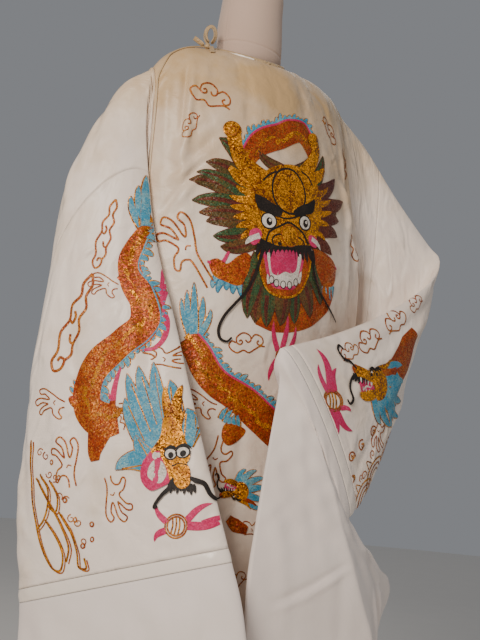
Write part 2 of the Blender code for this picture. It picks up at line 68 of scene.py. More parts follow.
class Thread(Enum):
    """Finishes of the embroidery: name, the two sRGB colours it wavers between, and how metallic."""
    GOLD = ("#D08A16", "#74360A", 0.40)
    ORANGE = ("#963510", "#BC6C18", 0.30)
    RUST = ("#8E3D14", "#B9772A", 0.15)
    BLUE = ("#3385A6", "#7CA9B2", 0.0)
    DEEP_BLUE = ("#2A5878", "#3F7C8E", 0.0)
    GREEN = ("#4A3F20", "#6E4522", 0.10)
    LEAF = ("#2F4C2E", "#5A4E26", 0.10)
    MAROON = ("#52211A", "#6E3A22", 0.10)
    PINK = ("#BE1F55", "#CC4672", 0.0)
    BLACK = ("#181210", "#2A211C", 0.0)
    WHITE = ("#D8D0C6", "#C2B8AC", 0.0)


GOLD, ORANGE, RUST, BLUE, DEEP_BLUE, GREEN, LEAF, MAROON, PINK, BLACK, WHITE = Thread


# ---- colour
def linear(code: str) -> tuple[float, float, float, float]:
    """Turn an sRGB hex colour into linear light.

    Args:
        code: colour such as "#C08A22".

    Returns:
        Red, green, blue and alpha.
    """
    parts = np.array([int(code[i:i + 2], 16) for i in (1, 3, 5)]) / 255.0
    light = np.where(parts <= 0.04045, parts / 12.92, ((parts + 0.055) / 1.055) ** 2.4)
    return (float(light[0]), float(light[1]), float(light[2]), 1.0)


def fill(node: bpy.types.Node, links: dict[str | int, Any]) -> bpy.types.Node:
    """Fill a node's inputs.

    Args:
        node: the node.
        links: input name or number to a value, or to an output socket to link.

    Returns:
        The node.
    """
    for key, value in links.items():
        if isinstance(value, bpy.types.NodeSocket):
            node.id_data.links.new(value, node.inputs[key])
        else:
            node.inputs[key].default_value = value
    return node


def add_node(tree: bpy.types.NodeTree, kind: str, links: dict[str | int, Any] | None = None, **settings:
        Any) -> bpy.types.Node:
    """Add a shader node, set its properties and fill its inputs.

    Args:
        tree: node tree that takes it.
        kind: Blender's name of the node type, without its first word.
        links: what fills its inputs.
        settings: properties of the node.

    Returns:
        The node.
    """
    node = tree.nodes.new("ShaderNode" + kind)
    for key, value in settings.items():
        setattr(node, key, value)
    return fill(node, links or {})


# ---- finishes
@dataclass(frozen=True)
class Finish:
    """A material by name."""
    name: str

    def begin(self) -> tuple[bpy.types.Material, bpy.types.NodeTree, bpy.types.Node]:
        """Make the bare material, with its node tree and its shader."""
        material = bpy.data.materials.new(self.name)
        material.use_nodes = True
        return material, material.node_tree, material.node_tree.nodes["Principled BSDF"]


@dataclass(frozen=True)
class Satin(Finish):
    """Silk satin: warp floats laid close, so it is smooth with a soft broad shine.

    It has yellowed on the shoulders, where old sweat and dust settle; the body panels' darker copy,
    yellowed from the underarms up, is partly that yellowing and partly painted shade on the chest.
    The weave itself, threads 0.12 mm apart, is too fine to show; it is drawn as faint threads 1.6 mm
    apart.  Ridged noise gives the sharp little pressed creases and plain noise the soft dents between
    them.
    """
    colour: str
    aged: str
    rough: float = 0.43
    crumple_mm: float = 58.0
    thread_mm: float = 1.6
    float_length: float = 6.0
    blotch_mm: float = 130.0
    bump: float = 0.22
    crisp: float = 0.85
    aged_from: float = 1.22
    aged_to: float = 1.50
    most_aged: float = 0.62
    sheen: float = 0.2

    def ageing(self, tree: bpy.types.NodeTree, place: bpy.types.NodeSocket) -> bpy.types.NodeSocket:
        """Share of the aged colour: blotches everywhere, and more of it towards the shoulders.

        Args:
            tree: the material.
            place: the point's place on the part.

        Returns:
            A share from 0 to 1.
        """
        blotch = add_node(tree, "TexNoise", {"Vector": place, "Scale": 1 / (self.blotch_mm * MM),
            "Detail": 4.0, "Roughness": 0.6})
        above = add_node(tree, "SeparateXYZ", {0: place})
        height = add_node(tree, "MapRange", {"Value": above.outputs[2], "From Min": self.aged_from,
            "From Max": self.aged_to, "To Max": self.most_aged}, interpolation_type="SMOOTHSTEP")
        both = add_node(tree, "Math", {0: blotch.outputs[0], 1: height.outputs[0]}, operation="ADD")
        return add_node(tree, "MapRange", {"Value": both.outputs[0], "From Min": 0.50,
            "From Max": 1.12}).outputs[0]

    def make(self) -> bpy.types.Material:
        """Build the material.

        Returns:
            The material.
        """
        material, tree, shader = self.begin()
        places = add_node(tree, "TexCoord")
        plan, crumple = places.outputs["UV"], 1 / (self.crumple_mm * MM)
        thread = 1 / (self.thread_mm * MM)
        colour = add_node(tree, "Mix", {0: self.ageing(tree, places.outputs["Object"]),
            6: linear(self.colour), 7: linear(self.aged)}, data_type="RGBA")
        weave = add_node(tree, "Mapping", {"Vector": plan,
            "Scale": (thread, thread / self.float_length, 1.0)})
        threads = add_node(tree, "TexNoise", {"Vector": weave.outputs[0], "Scale": 1.0, "Detail": 1.0})
        dents = add_node(tree, "TexNoise", {"Vector": plan, "Scale": 2 * crumple, "Detail": 2.0,
            "Distortion": 0.6})
        ridges = add_node(tree, "TexNoise", {"Vector": plan, "Scale": crumple, "Detail": 1.6,
            "Roughness": 0.4, "Distortion": 0.9}, noise_type="RIDGED_MULTIFRACTAL")
        normal = None
        for height, strength, deep in ((threads, 0.10, 0.0006), (dents, self.bump, 0.010),
                (ridges, self.crisp, 0.006)):
            under = {"Normal": normal.outputs[0]} if normal else {}
            normal = add_node(tree, "Bump", {"Height": height.outputs[0], "Strength": strength,
                "Distance": deep, **under})
        fill(shader, {"Base Color": colour.outputs[2], "Normal": normal.outputs[0], "Roughness": self.rough,
            "Sheen Weight": self.sheen, "Sheen Roughness": 0.4, "Specular IOR Level": 0.42})
        return material


@dataclass(frozen=True)
class PlainWeave(Finish):
    """Plain-woven or knitted cloth: matte, a thin crossing texture, drawn coarse enough to show."""
    colour: str
    aged: str
    rough: float
    thread_mm: float
    crumple_mm: float
    bump: float = 0.2
    blotch_mm: float = 120.0

    def make(self) -> bpy.types.Material:
        """Build the material.

        Returns:
            The material.
        """
        material, tree, shader = self.begin()
        place = add_node(tree, "TexCoord").outputs["Object"]
        blotch, threads, crumple = (
            add_node(tree, "TexNoise", {"Vector": place, "Scale": 1 / (size * MM), "Detail": detail})
            for size, detail in ((self.blotch_mm, 3.0), (self.thread_mm, 2.0),
                                 (self.crumple_mm, 3.0)))
        colour = add_node(tree, "Mix", {0: blotch.outputs[0], 6: linear(self.colour), 7: linear(self.aged)},
            data_type="RGBA")
        fine = add_node(tree, "Bump", {"Height": threads.outputs[0], "Strength": 0.25, "Distance": 0.0006})
        soft = add_node(tree, "Bump", {"Height": crumple.outputs[0], "Normal": fine.outputs[0],
            "Strength": self.bump, "Distance": 0.008})
        fill(shader, {"Base Color": colour.outputs[2], "Normal": soft.outputs[0], "Roughness": self.rough,
            "Sheen Weight": 0.3, "Specular IOR Level": 0.3})
        return material


@dataclass(frozen=True)
class StitchedThread(Finish):
    """Couched metallic or silk thread: it wavers between two colours and glints fleck by fleck.

    Flecks of a real 0.7 mm are drawn 2 mm wide so that they show; each tilts its own way.
    """
    colours: tuple[str, str]
    metallic: float
    rough: float
    fleck: float
    tilt: float
    fleck_mm: float = 2.0
    waver_mm: float = 30.0

    def make(self) -> bpy.types.Material:
        """Build the material.

        Returns:
            The material.
        """
        material, tree, shader = self.begin()
        places = add_node(tree, "TexCoord")
        place = places.outputs["Object"]
        cells = add_node(tree, "TexVoronoi", {"Vector": place, "Scale": 1
            / (self.fleck_mm * MM)}).outputs["Color"]
        wide = add_node(tree, "TexNoise", {"Vector": place, "Scale": 1 / (self.waver_mm * MM),
            "Detail": 3.0, "Roughness": 0.65})
        value = add_node(tree, "SeparateColor", {0: cells})
        both = add_node(tree, "Math", {0: value.outputs[0], 1: 0.45, 2: wide.outputs[0]},
            operation="MULTIPLY_ADD")
        share = add_node(tree, "MapRange", {"Value": both.outputs[0], "From Min": 0.64, "From Max": 0.94})
        hue = add_node(tree, "Mix", {0: share.outputs[0], 6: linear(self.colours[0]),
            7: linear(self.colours[1])}, data_type="RGBA")
        level = add_node(tree, "MapRange", {"Value": value.outputs[1], "To Min": 1 - self.fleck, "To Max": 1
            + self.fleck})
        shade = add_node(tree, "HueSaturation", {"Value": level.outputs[0], "Color": hue.outputs[2]})
        random = add_node(tree, "VectorMath", {0: cells, 1: (0.5,) * 3}, operation="SUBTRACT")
        leaned = add_node(tree, "VectorMath", {0: random.outputs[0], 1: (self.tilt,) * 3,
            2: places.outputs["Normal"]}, operation="MULTIPLY_ADD")
        normal = add_node(tree, "VectorMath", {0: leaned.outputs[0]}, operation="NORMALIZE")
        fill(shader, {"Base Color": shade.outputs[0], "Normal": normal.outputs[0], "Roughness": self.rough,
            "Metallic": self.metallic, "Specular IOR Level": 0.3})
        return material


@dataclass(frozen=True)
class Metalwork(Finish):
    """Bare or painted metal: brushed along its length, or a fine-grained satin paint."""
    colour: str
    metallic: float
    rough: float
    grain_mm: tuple[float, float, float]
    coat: float = 0.0

    def make(self) -> bpy.types.Material:
        """Build the material.

        Returns:
            The material.
        """
        material, tree, shader = self.begin()
        turned = add_node(tree, "Mapping", {"Vector": add_node(tree, "TexCoord").outputs["Object"],
            "Scale": tuple(1 / (g * MM) for g in self.grain_mm)})
        grain = add_node(tree, "TexNoise", {"Vector": turned.outputs[0], "Scale": 1.0, "Detail": 2.0})
        rough, shade = (
            add_node(tree, "MapRange", {"Value": grain.outputs[0], "To Min": low, "To Max": high})
            for low, high in ((self.rough - 0.08, self.rough + 0.10), (0.85, 1.15)))
        colour = add_node(tree, "HueSaturation", {"Value": shade.outputs[0], "Color": linear(self.colour)})
        fill(shader, {"Roughness": rough.outputs[0], "Base Color": colour.outputs[0],
            "Metallic": self.metallic, "Coat Weight": self.coat})
        return material


class Finishes:
    """Every material, made once."""

    def __init__(self) -> None:
        """Make the materials."""
        self.satin = Satin("silk_satin_cream", "#F0E2D6", "#C9AB80").make()
        # Body panels' copy: a darker base and yellowing from the underarms up, partly real yellowing and
        # partly painted shade on the chest.
        self.body = Satin("silk_satin_yellowed", "#E8D9CA", "#C2A173", aged_from=1.02, crumple_mm=54,
            crisp=0.75).make()
        self.band = Satin("silk_satin_band", "#F0E4D8", "#DCCDBA", rough=0.24, bump=0.05, crisp=0.05,
            aged_from=3.0, aged_to=4.0).make()
        self.binding = Satin("silk_satin_binding", "#D2BC9C", "#B0946C", crumple_mm=12).make()
        self.silk = PlainWeave("habotai_silk_white", "#EFE4DD", "#DFD2CA", 0.62, 1.3, 45.0).make()
        self.jersey = PlainWeave("cotton_jersey_beige", "#C3AA9A", "#B89E8D", 0.9, 1.0, 60.0, 0.05).make()
        self.steel = Metalwork("brushed_steel", "#B9BABC", 1.0, 0.32, (0.8, 0.8, 30.0)).make()
        self.base = Metalwork("black_enamel", "#2A2A2C", 0.0, 0.42, (1.5, 1.5, 1.5), 0.2).make()
        self.threads = {t: self.thread(t) for t in Thread}

    @staticmethod
    def thread(thread: Thread) -> bpy.types.Material:
        """Make one thread's material: metallic ones are smoother, with stronger flecks.

        Args:
            thread: which thread.

        Returns:
            The material.
        """
        first, second, metallic = thread.value
        rough, fleck, tilt = (0.40, 0.5, 0.55) if metallic > 0 else (0.6, 0.18, 0.2)
        return StitchedThread("couched_thread_" + thread.name.lower(), (first, second), metallic, rough,
            fleck, tilt).make()




# ---- curves
def through(rows: Array | Sequence, place: Array) -> Array:
    """Smooth curve through the rows of a table (Catmull-Rom).

    Args:
        rows: table, one row for each knot.
        place: where to read it, counted in rows.

    Returns:
        One interpolated row for each place.
    """
    table = np.asarray(rows, float)
    place = np.atleast_1d(np.asarray(place, float))
    last = len(table) - 1
    i = np.clip(np.floor(place).astype(int), 0, last - 1)
    t = (place - i).reshape((-1,) + (1,) * (table.ndim - 1))
    longer = np.concatenate([[2 * table[0] - table[1]], table, [2 * table[last] - table[last - 1]]])
    before, a, b, after = longer[i], longer[i + 1], longer[i + 2], longer[i + 3]
    return (a + 0.5 * t * (b - before)
            + t ** 2 * (before - 2.5 * a + 2 * b - 0.5 * after)
            + t ** 3 * (-0.5 * before + 1.5 * a - 1.5 * b + 0.5 * after))


def smooth(value: Array) -> Array:
    """Rise from 0 to 1 with a level start and end: 3 v^2 - 2 v^3."""
    value = np.clip(value, 0.0, 1.0)
    return value * value * (3 - 2 * value)


def unit(vectors: Array) -> Array:
    """Vectors of length one."""
    return vectors / np.maximum(np.linalg.norm(vectors, axis=-1, keepdims=True), 1e-12)


def run_length(points: Array, axis: int) -> Array:
    """Distance walked along one axis of a grid of points, from 0, in the points' unit."""
    steps = np.linalg.norm(np.diff(points, axis=axis), axis=-1)
    start = np.zeros_like(np.take(steps, [0], axis=axis))
    return np.concatenate([start, np.cumsum(steps, axis=axis)], axis=axis)


# ---- cloth
CREASE_TAPER = 0.3   # share of a crease's length over which each end dies away


def crease_lift(creases: Sequence, a: Array, b: Array) -> Array:
    """Height of creases on a flat plan, all in mm.

    Each row of creases: where it starts across and down, where it ends across and down, height
    (below 0 for a trough), width and bow. Its height is height * exp(-(distance across / width)^2),
    tapered to nothing at both ends; the bow bends its line sideways as a parabola.

    Args:
        creases: the table.
        a: places across the plan.
        b: places down the plan.

    Returns:
        Heights, shaped like a.
    """
    lift = np.zeros_like(a)
    for from_a, from_b, to_a, to_b, height, width, bow in creases:
        way_a, way_b = to_a - from_a, to_b - from_b
        length = math.hypot(way_a, way_b)
        along = ((a - from_a) * way_a + (b - from_b) * way_b) / length ** 2
        across = ((a - from_a) * way_b - (b - from_b) * way_a) / length
        across = across - bow * 4 * along * (1 - along)
        taper = smooth(along / CREASE_TAPER) * smooth((1 - along) / CREASE_TAPER)
        lift = lift + height * taper * np.exp(-(across / width) ** 2)
    return lift


RIPPLES = 7      # sines in one ripple
WRAP_MM = 28.0   # how far from the line where a tube's plan wraps round its creases are whole


@dataclass
class Cloth:
    """A grid of points with a flat plan in mm, its creases and its mesh.

    Rows run down the cloth and columns across it; closed joins the last column to the first, and
    turned says that columns cross rows gives the inward side.
    """
    name: str
    points: Array
    plan_a: Array
    plan_b: Array
    closed: bool
    turned: bool
    base: Array = field(init=False)

    def __post_init__(self) -> None:
        """Keep the points as they are before any crease."""
        self.base = self.points

    def normals(self) -> Array:
        """Outward normals: the cross product of central differences across and down.

        Returns:
            A unit vector for each grid point.
        """
        points = self.points
        down = np.gradient(points, axis=0)
        if self.closed:
            across = np.roll(points, -1, 1) - np.roll(points, 1, 1)
        else:
            across = np.gradient(points, axis=1)
        way = -1.0 if self.turned else 1.0
        return unit(np.cross(across, down)) * way

    def at_wrap(self) -> Array | float:
        """Share of a crease kept beside the line where a tube's plan wraps round: 0 on it.

        Returns:
            A share for each grid point, or 1 for a cloth that is no tube.
        """
        if not self.closed:
            return 1.0
        girth = self.plan_a[:, -1:] + self.plan_a[:, 1:2]
        return smooth(np.minimum(self.plan_a, girth - self.plan_a) / WRAP_MM)

    def raise_by(self, lift: Array) -> None:
        """Move the points out along their normals by a lift in mm."""
        self.points = self.points + self.normals() * lift[..., None] * MM

    def crease(self, creases: Sequence, ease: Array) -> None:
        """Lift the cloth by its creases.

        Args:
            creases: their table, in the plan's mm.
            ease: share of the lift kept at each point, 0 along the seams.
        """
        self.raise_by(crease_lift(creases, self.plan_a, self.plan_b) * ease * self.at_wrap())

    def ripple(self, height: float, wave: float, seed: int, ease: Array) -> None:
        """Lift the cloth by a sum of slanted sines, so that no two stretches are alike.

        Args:
            height: greatest lift of one sine, in mm.
            wave: mean distance between ridges, in mm.
            seed: seed of the slants and phases.
            ease: share of the lift kept at each point.
        """
        chance = np.random.default_rng(seed)
        lift = np.zeros_like(self.plan_a)
        for _ in range(RIPPLES):
            turn = chance.uniform(-0.9, 0.9)
            length = wave * chance.uniform(0.6, 1.7)
            phase = chance.uniform(0, 2 * math.pi)
            line = self.plan_a * math.cos(turn) + self.plan_b * math.sin(turn)
            patch = np.sin(self.plan_b / (3.1 * length) + phase * 3 + self.plan_a / (4.7 * length))
            lift = lift + np.sin(2 * math.pi * line / length + phase + patch) * (0.5 + 0.5 * patch)
        self.raise_by(lift * ease * self.at_wrap() * (height / RIPPLES))

    def build(self, material: bpy.types.Material, wall: float | None = 0.0016) -> bpy.types.Object:
        """Make the object, its UV map in metres of the plan, its wall set inwards.

        Args:
            material: the cloth's finish.
            wall: thickness in metres, or None for a bare sheet.

        Returns:
            The object.
        """
        quads = grid_faces(*self.points.shape[:2], self.closed)
        if self.turned:
            quads = quads[:, ::-1]
        plan = np.stack([self.plan_a, self.plan_b], -1).reshape(-1, 2) * MM
        item = mesh_object(self.name, self.points.reshape(-1, 3), quads, [material])
        layer = item.data.uv_layers.new(name="plan")
        uv = plan[quads.ravel()].reshape(quads.shape + (2,))
        if self.closed:
            girth = float(self.plan_a.max() + self.plan_a[0, 1]) * MM
            wraps = (uv[..., 0].max(1) - uv[..., 0].min(1)) > girth / 2
            uv[..., 0] += np.where(wraps[:, None] & (uv[..., 0] < girth / 2), girth, 0.0)
        layer.data.foreach_set("uv", uv.astype(np.float32).ravel())
        if wall:
            solid = item.modifiers.new("Wall", "SOLIDIFY")
            solid.thickness = wall
            solid.offset = -1.0
        return item


def grid_faces(rows: int, columns: int, closed: bool) -> Array:
    """Corner numbers of a grid's quads; closed joins the last column to the first.

    Args:
        rows: points down the grid.
        columns: points across it.
        closed: whether it is a tube.

    Returns:
        Four corner numbers for each quad.
    """
    r, c = np.meshgrid(np.arange(rows - 1), np.arange(columns if closed else columns - 1),
                       indexing="ij")
    d = (c + 1) % columns
    return np.stack([r * columns + c, r * columns + d, (r + 1) * columns + d,
                     (r + 1) * columns + c], -1).reshape(-1, 4)


def mesh_object(name: str, points: Array, faces: Array | list, materials: Sequence,
                slots: Array | None = None) -> bpy.types.Object:
    """Make a smooth-shaded mesh object at the origin.

    Args:
        name: object and mesh name.
        points: points, in metres.
        faces: corner numbers of each face.
        materials: the object's materials.
        slots: material number of each face.

    Returns:
        The object, linked to the scene.
    """
    mesh = bpy.data.meshes.new(name)
    mesh.from_pydata(points.tolist(), [], faces.tolist() if isinstance(faces, np.ndarray) else faces)
    mesh.polygons.foreach_set("use_smooth", np.ones(len(mesh.polygons), bool))
    for material in materials:
        mesh.materials.append(material)
    if slots is not None:
        mesh.polygons.foreach_set("material_index", np.asarray(slots, np.int32))
    mesh.update()
    item = bpy.data.objects.new(name, mesh)
    bpy.context.scene.collection.objects.link(item)
    return item


# ---- the cut
@dataclass(frozen=True)
class BodyCut:
    """Sections of the two body panels, in metres."""
    hem_z: float = 0.10
    chest_z: float = 1.28
    underarm_z: float = 1.08
    shoulder_x: float = 0.212
    shoulder_drop: float = 0.012
    right_round: float = 0.052
    left_round: float = 0.024
    neck_half_width: float = 0.072
    neck_depth: float = 0.070
    neck_z: float = 1.489
    neck_tilt: float = 0.30
    neck_share: float = 1 / 3
    fullness: float = 0.95
    softness: float = 0.001
    seam: float = 0.0006
    fold_fade: float = 0.16
    # height, half width right and left, depth in front and behind, and the armhole's angles in
    # degrees: in front at the right and left, and behind
    sections: tuple = (
        (1.28, 0.218, 0.238, 0.130, 0.108, 8.0, 21.0, 24.0),
        (1.18, 0.220, 0.260, 0.143, 0.120, 7.0, 15.0, 18.0),
        (1.08, 0.222, 0.278, 0.150, 0.130, 0.0, 0.0, 0.0),
        (0.92, 0.222, 0.262, 0.154, 0.138, 0.0, 0.0, 0.0),
        (0.75, 0.226, 0.242, 0.158, 0.148, 0.0, 0.0, 0.0),
        (0.55, 0.232, 0.246, 0.164, 0.160, 0.0, 0.0, 0.0),
        (0.32, 0.234, 0.256, 0.172, 0.174, 0.0, 0.0, 0.0),
        (0.10, 0.238, 0.272, 0.180, 0.188, 0.0, 0.0, 0.0),
    )
    # place across at the top and foot of the fold, height of its top and foot, half width, lift
    front_folds: tuple = (
        (0.86, 0.84, 1.42, 0.70, 0.022, 0.010),
        (0.94, 0.92, 1.40, 0.80, 0.018, 0.012),
        (0.14, 0.17, 1.42, 1.10, 0.026, 0.008),
        (0.24, 0.20, 0.85, 0.00, 0.040, 0.012),
        (0.40, 0.38, 0.65, 0.00, 0.045, 0.011),
        (0.60, 0.62, 0.72, 0.00, 0.045, 0.012),
        (0.79, 0.80, 0.80, 0.00, 0.040, 0.012),
    )
    back_folds: tuple = (
        (0.14, 0.15, 1.35, 0.30, 0.035, 0.009),
        (0.31, 0.28, 1.00, 0.00, 0.045, 0.013),
        (0.50, 0.50, 0.90, 0.00, 0.045, 0.012),
        (0.69, 0.72, 1.00, 0.00, 0.045, 0.013),
        (0.86, 0.85, 1.35, 0.30, 0.035, 0.009),
    )

    def section(self, height: Array) -> Array:
        """Half widths, depths and armhole angles at each height."""
        table = np.array(self.sections)
        place = np.interp(-np.atleast_1d(height), -table[:, 0], np.arange(len(table)))
        return through(table[:, 1:], place)

    def folds(self, way: Way, share: Array, height: Array) -> Array:
        """Lift of the long folds: a Gaussian across, rising below its top and dying at its foot.

        Args:
            way: front or back.
            share: places across, 0 to 1.
            height: heights, in metres.

        Returns:
            How far each place moves outwards, in metres.
        """
        lift = np.zeros(np.broadcast(share, height).shape)
        table = self.front_folds if way is Way.FRONT else self.back_folds
        for at_top, at_foot, top, foot, width, depth in table:
            along = np.clip((top - height) / (top - foot), 0.0, 1.0)
            middle = at_top + (at_foot - at_top) * along
            rise = smooth((top - height) / self.fold_fade)
            die = smooth((height - foot) / self.fold_fade) if foot > self.hem_z else 1.0
            lift = lift + depth * rise * die * np.exp(-((share - middle) / width) ** 2)
        return lift

    def top_edge(self, share: Array, way: Way) -> Array:
        """Neckline and shoulder line: an ellipse round the neck, then a straight fall that rounds.

        Args:
            share: places across, 0 to 1.
            way: front or back.

        Returns:
            The height of the edge, in metres.
        """
        from_middle = share - 0.5
        turn = np.clip(from_middle / self.neck_share, -0.5, 0.5) * math.pi
        reach = np.clip((np.abs(from_middle) - self.neck_share / 2) / (0.5 - self.neck_share / 2),
                        0.0, 1.0)
        x = self.neck_half_width * np.sin(turn)
        x = x + np.sign(from_middle) * reach * (self.shoulder_x - self.neck_half_width)
        y = way.value * self.neck_depth * np.cos(turn)
        rounding = np.where(share < 0.5, self.right_round, self.left_round)
        z = self.neck_z + self.neck_tilt * y - self.shoulder_drop * reach - rounding * reach ** 4
        return np.stack([x, y, z], -1)

    def panel(self, way: Way, share: Array, drop: Array) -> Array:
        """Points of a body panel.

        Over the shoulder (drop 0 to 1) each column is a quadratic Bezier curve from the top edge to
        the chest section; below it (1 to 2) the sections are ellipses down to the hem.

        Args:
            way: front or back.
            share: places across, 0 at the wearer's right and 1 at the left.
            drop: places down.

        Returns:
            Points, a grid of drop by share.
        """
        share, drop = np.meshgrid(share, drop)
        height = self.chest_z - np.clip(drop - 1, 0, 1) * (self.chest_z - self.hem_z)
        rows = self.section(height.ravel()).reshape(height.shape + (7,))
        right, left, front, back, gap_right, gap_left, gap_back = np.moveaxis(rows, -1, 0)
        gap = np.where(share < 0.5, gap_right, gap_left) if way is Way.FRONT else gap_back
        turn = (2 * share - 1) * np.radians(90 - np.maximum(gap, 0))
        half = np.where(share < 0.5, right, left)
        depth = front if way is Way.FRONT else back
        out = unit(np.stack([np.sin(turn) / half, way.value * np.cos(turn) / depth, 0 * turn], -1))
        low = np.stack([half * np.sin(turn), way.value * depth * np.cos(turn), height], -1)
        top = self.top_edge(share, way)
        bend = np.stack([(top[..., 0] + low[..., 0]) / 2, self.fullness * low[..., 1],
                         top[..., 2] - self.softness], -1)
        t = np.clip(drop, 0, 1)[..., None]
        points = (1 - t) ** 2 * top + 2 * t * (1 - t) * bend + t ** 2 * low
        points = points + out * self.folds(way, share, points[..., 2])[..., None]
        points[..., 1] += way.value * self.seam / 2
        return points

    @property
    def underarm_drop(self) -> float:
        """Place down the panel's edge of the foot of the armhole."""
        return 1 + (self.chest_z - self.underarm_z) / (self.chest_z - self.hem_z)

    def armhole(self, side: Side, turn: Array) -> Array:
        """The armhole's edge, down the back panel and up the front panel, for turns of 0 to 2 pi.

        Args:
            side: which arm.
            turn: angles round the armhole.

        Returns:
            A point for each turn.
        """
        share = np.array([0.0 if side is Side.RIGHT else 1.0])
        drops = self.underarm_drop * (1 - np.cos(turn)) / 2
        behind = self.panel(Way.BACK, share, drops)[:, 0]
        in_front = self.panel(Way.FRONT, share, drops)[:, 0]
        loop = np.where((turn <= math.pi)[:, None], behind, in_front)
        loop[:, 0] += 0.0008 if side is Side.LEFT else -0.0007
        return loop


@dataclass(frozen=True)
class SleeveCut:
    """A flat tube whose sections are lenses between a top fold and a bottom seam, in metres.

    Each row: the fold's x, y, z, the seam's x, y, z, how far the layer behind and the layer in front
    stand out, and the way the layer behind faces, in degrees.
    """
    side: Side
    rows: tuple
    seam_at: float
    top_fullness: float
    ease_rows: float = 1.5
    fullness_rows: float = 2.5
    band: float = 0.022

    def points(self, body: BodyCut, places: Array, turn: Array) -> Array:
        """Sections at each place: between fold and seam by the cosine of the turn, bowed outwards.

        Args:
            body: the body whose armhole the first sections ease out of.
            places: places along, counted in rows.
            turn: places round, 0 at the top fold and pi at the bottom seam.

        Returns:
            Points, a grid of place by turn.
        """
        places = np.asarray(places, float)
        at = through(self.rows, places)
        fold, seam = at[:, 0:3], at[:, 3:6]
        chord = unit(seam - fold)
        facing = np.radians(at[:, 8])
        outward = np.stack([np.cos(facing), np.sin(facing), 0 * facing], -1)
        outward = unit(outward - chord * (outward * chord).sum(-1, keepdims=True))
        loop = body.armhole(self.side, turn)
        top, foot = loop[:, 2].max(), loop[:, 2].min()
        settle = smooth(places / self.ease_rows)[:, None]
        along = (2 * (loop[:, 2] - foot) / (top - foot) - 1) * (1 - settle)
        along = along + np.cos(turn) * settle
        bow = np.clip(1 - along ** 2, 0, 1)
        power = self.top_fullness + (1 - self.top_fullness) * smooth(places / self.fullness_rows)
        stand = np.where(turn <= math.pi, at[:, 6:7] * bow ** (power[:, None] / 2),
                         -at[:, 7:8] * bow ** 0.5)
        middle, half = (fold + seam) / 2, (fold - seam) / 2
        points = middle[:, None] + half[:, None] * along[..., None]
        points = points + outward[:, None] * stand[..., None]
        ease = np.clip(1 - places, 0, 1) ** 2
        if ease.max() > 0:
            first = points[0] if places[0] == 0 else self.points(body, [0.0], turn)[0]
            points = points + ease[:, None, None] * (loop - first)[None]
        return points

    def end(self, body: BodyCut, turn: Array) -> tuple[Array, Array]:
        """Last section, and the way its cloth runs there."""
        last = len(self.rows) - 1
        ring, inner = self.points(body, [last, last - 0.06], turn)
        return ring, unit(ring - inner)


RIGHT_SLEEVE = SleeveCut(Side.RIGHT, (
    (-0.212, 0.000, 1.425, -0.222, 0.000, 1.080, 0.050, 0.018, 105),
    (-0.222, -0.006, 1.392, -0.248, 0.045, 1.066, 0.080, 0.012, 138),
    (-0.226, -0.014, 1.310, -0.275, 0.072, 1.045, 0.088, 0.012, 158),
    (-0.224, -0.040, 1.200, -0.315, 0.090, 0.960, 0.070, 0.016, 180),
    (-0.219, -0.070, 1.100, -0.335, 0.100, 0.860, 0.058, 0.018, 194),
    (-0.203, -0.120, 0.970, -0.343, 0.100, 0.750, 0.050, 0.020, 202),
    (-0.185, -0.185, 0.800, -0.345, 0.095, 0.620, 0.046, 0.024, 206),
    (-0.163, -0.260, 0.612, -0.337, 0.080, 0.500, 0.040, 0.026, 207),
), 2.72, 0.50)
LEFT_SLEEVE = SleeveCut(Side.LEFT, (
    (0.212, 0.000, 1.453, 0.278, 0.000, 1.080, 0.050, 0.045, 84),
    (0.293, -0.020, 1.386, 0.300, -0.010, 0.985, 0.050, 0.034, 70),
    (0.350, -0.065, 1.285, 0.327, -0.050, 0.890, 0.034, 0.026, 55),
    (0.412, -0.100, 1.200, 0.330, -0.092, 0.815, 0.008, 0.022, 25),
    (0.423, -0.125, 1.170, 0.302, -0.120, 0.785, 0.005, 0.020, -5),
    (0.390, -0.150, 1.130, 0.254, -0.152, 0.755, 0.008, 0.018, -40),
    (0.330, -0.165, 1.088, 0.202, -0.188, 0.725, 0.022, 0.014, -66),
    (0.220, -0.180, 1.030, 0.162, -0.220, 0.702, 0.034, 0.014, -76),
    (0.080, -0.205, 0.978, 0.132, -0.240, 0.686, 0.034, 0.020, -80),
    (-0.040, -0.230, 0.945, 0.112, -0.250, 0.674, 0.030, 0.028, -80),
), 1.45, 0.80)


# ---- body panels
def lay_in_place(item: bpy.types.Object, node: str) -> bpy.types.Object:
    """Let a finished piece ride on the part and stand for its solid.

    Args:
        item: the finished piece.
        node: the solid's name.

    Returns:
        The same object.
    """
    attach(item, "root")
    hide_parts(node)
    LOG.info("%s: %d points", item.name, len(item.data.vertices))
    return item


@dataclass
class SubAssembly:
    """A group of pieces, cut round the body and made of the finishes."""
    body: BodyCut
    finishes: Finishes


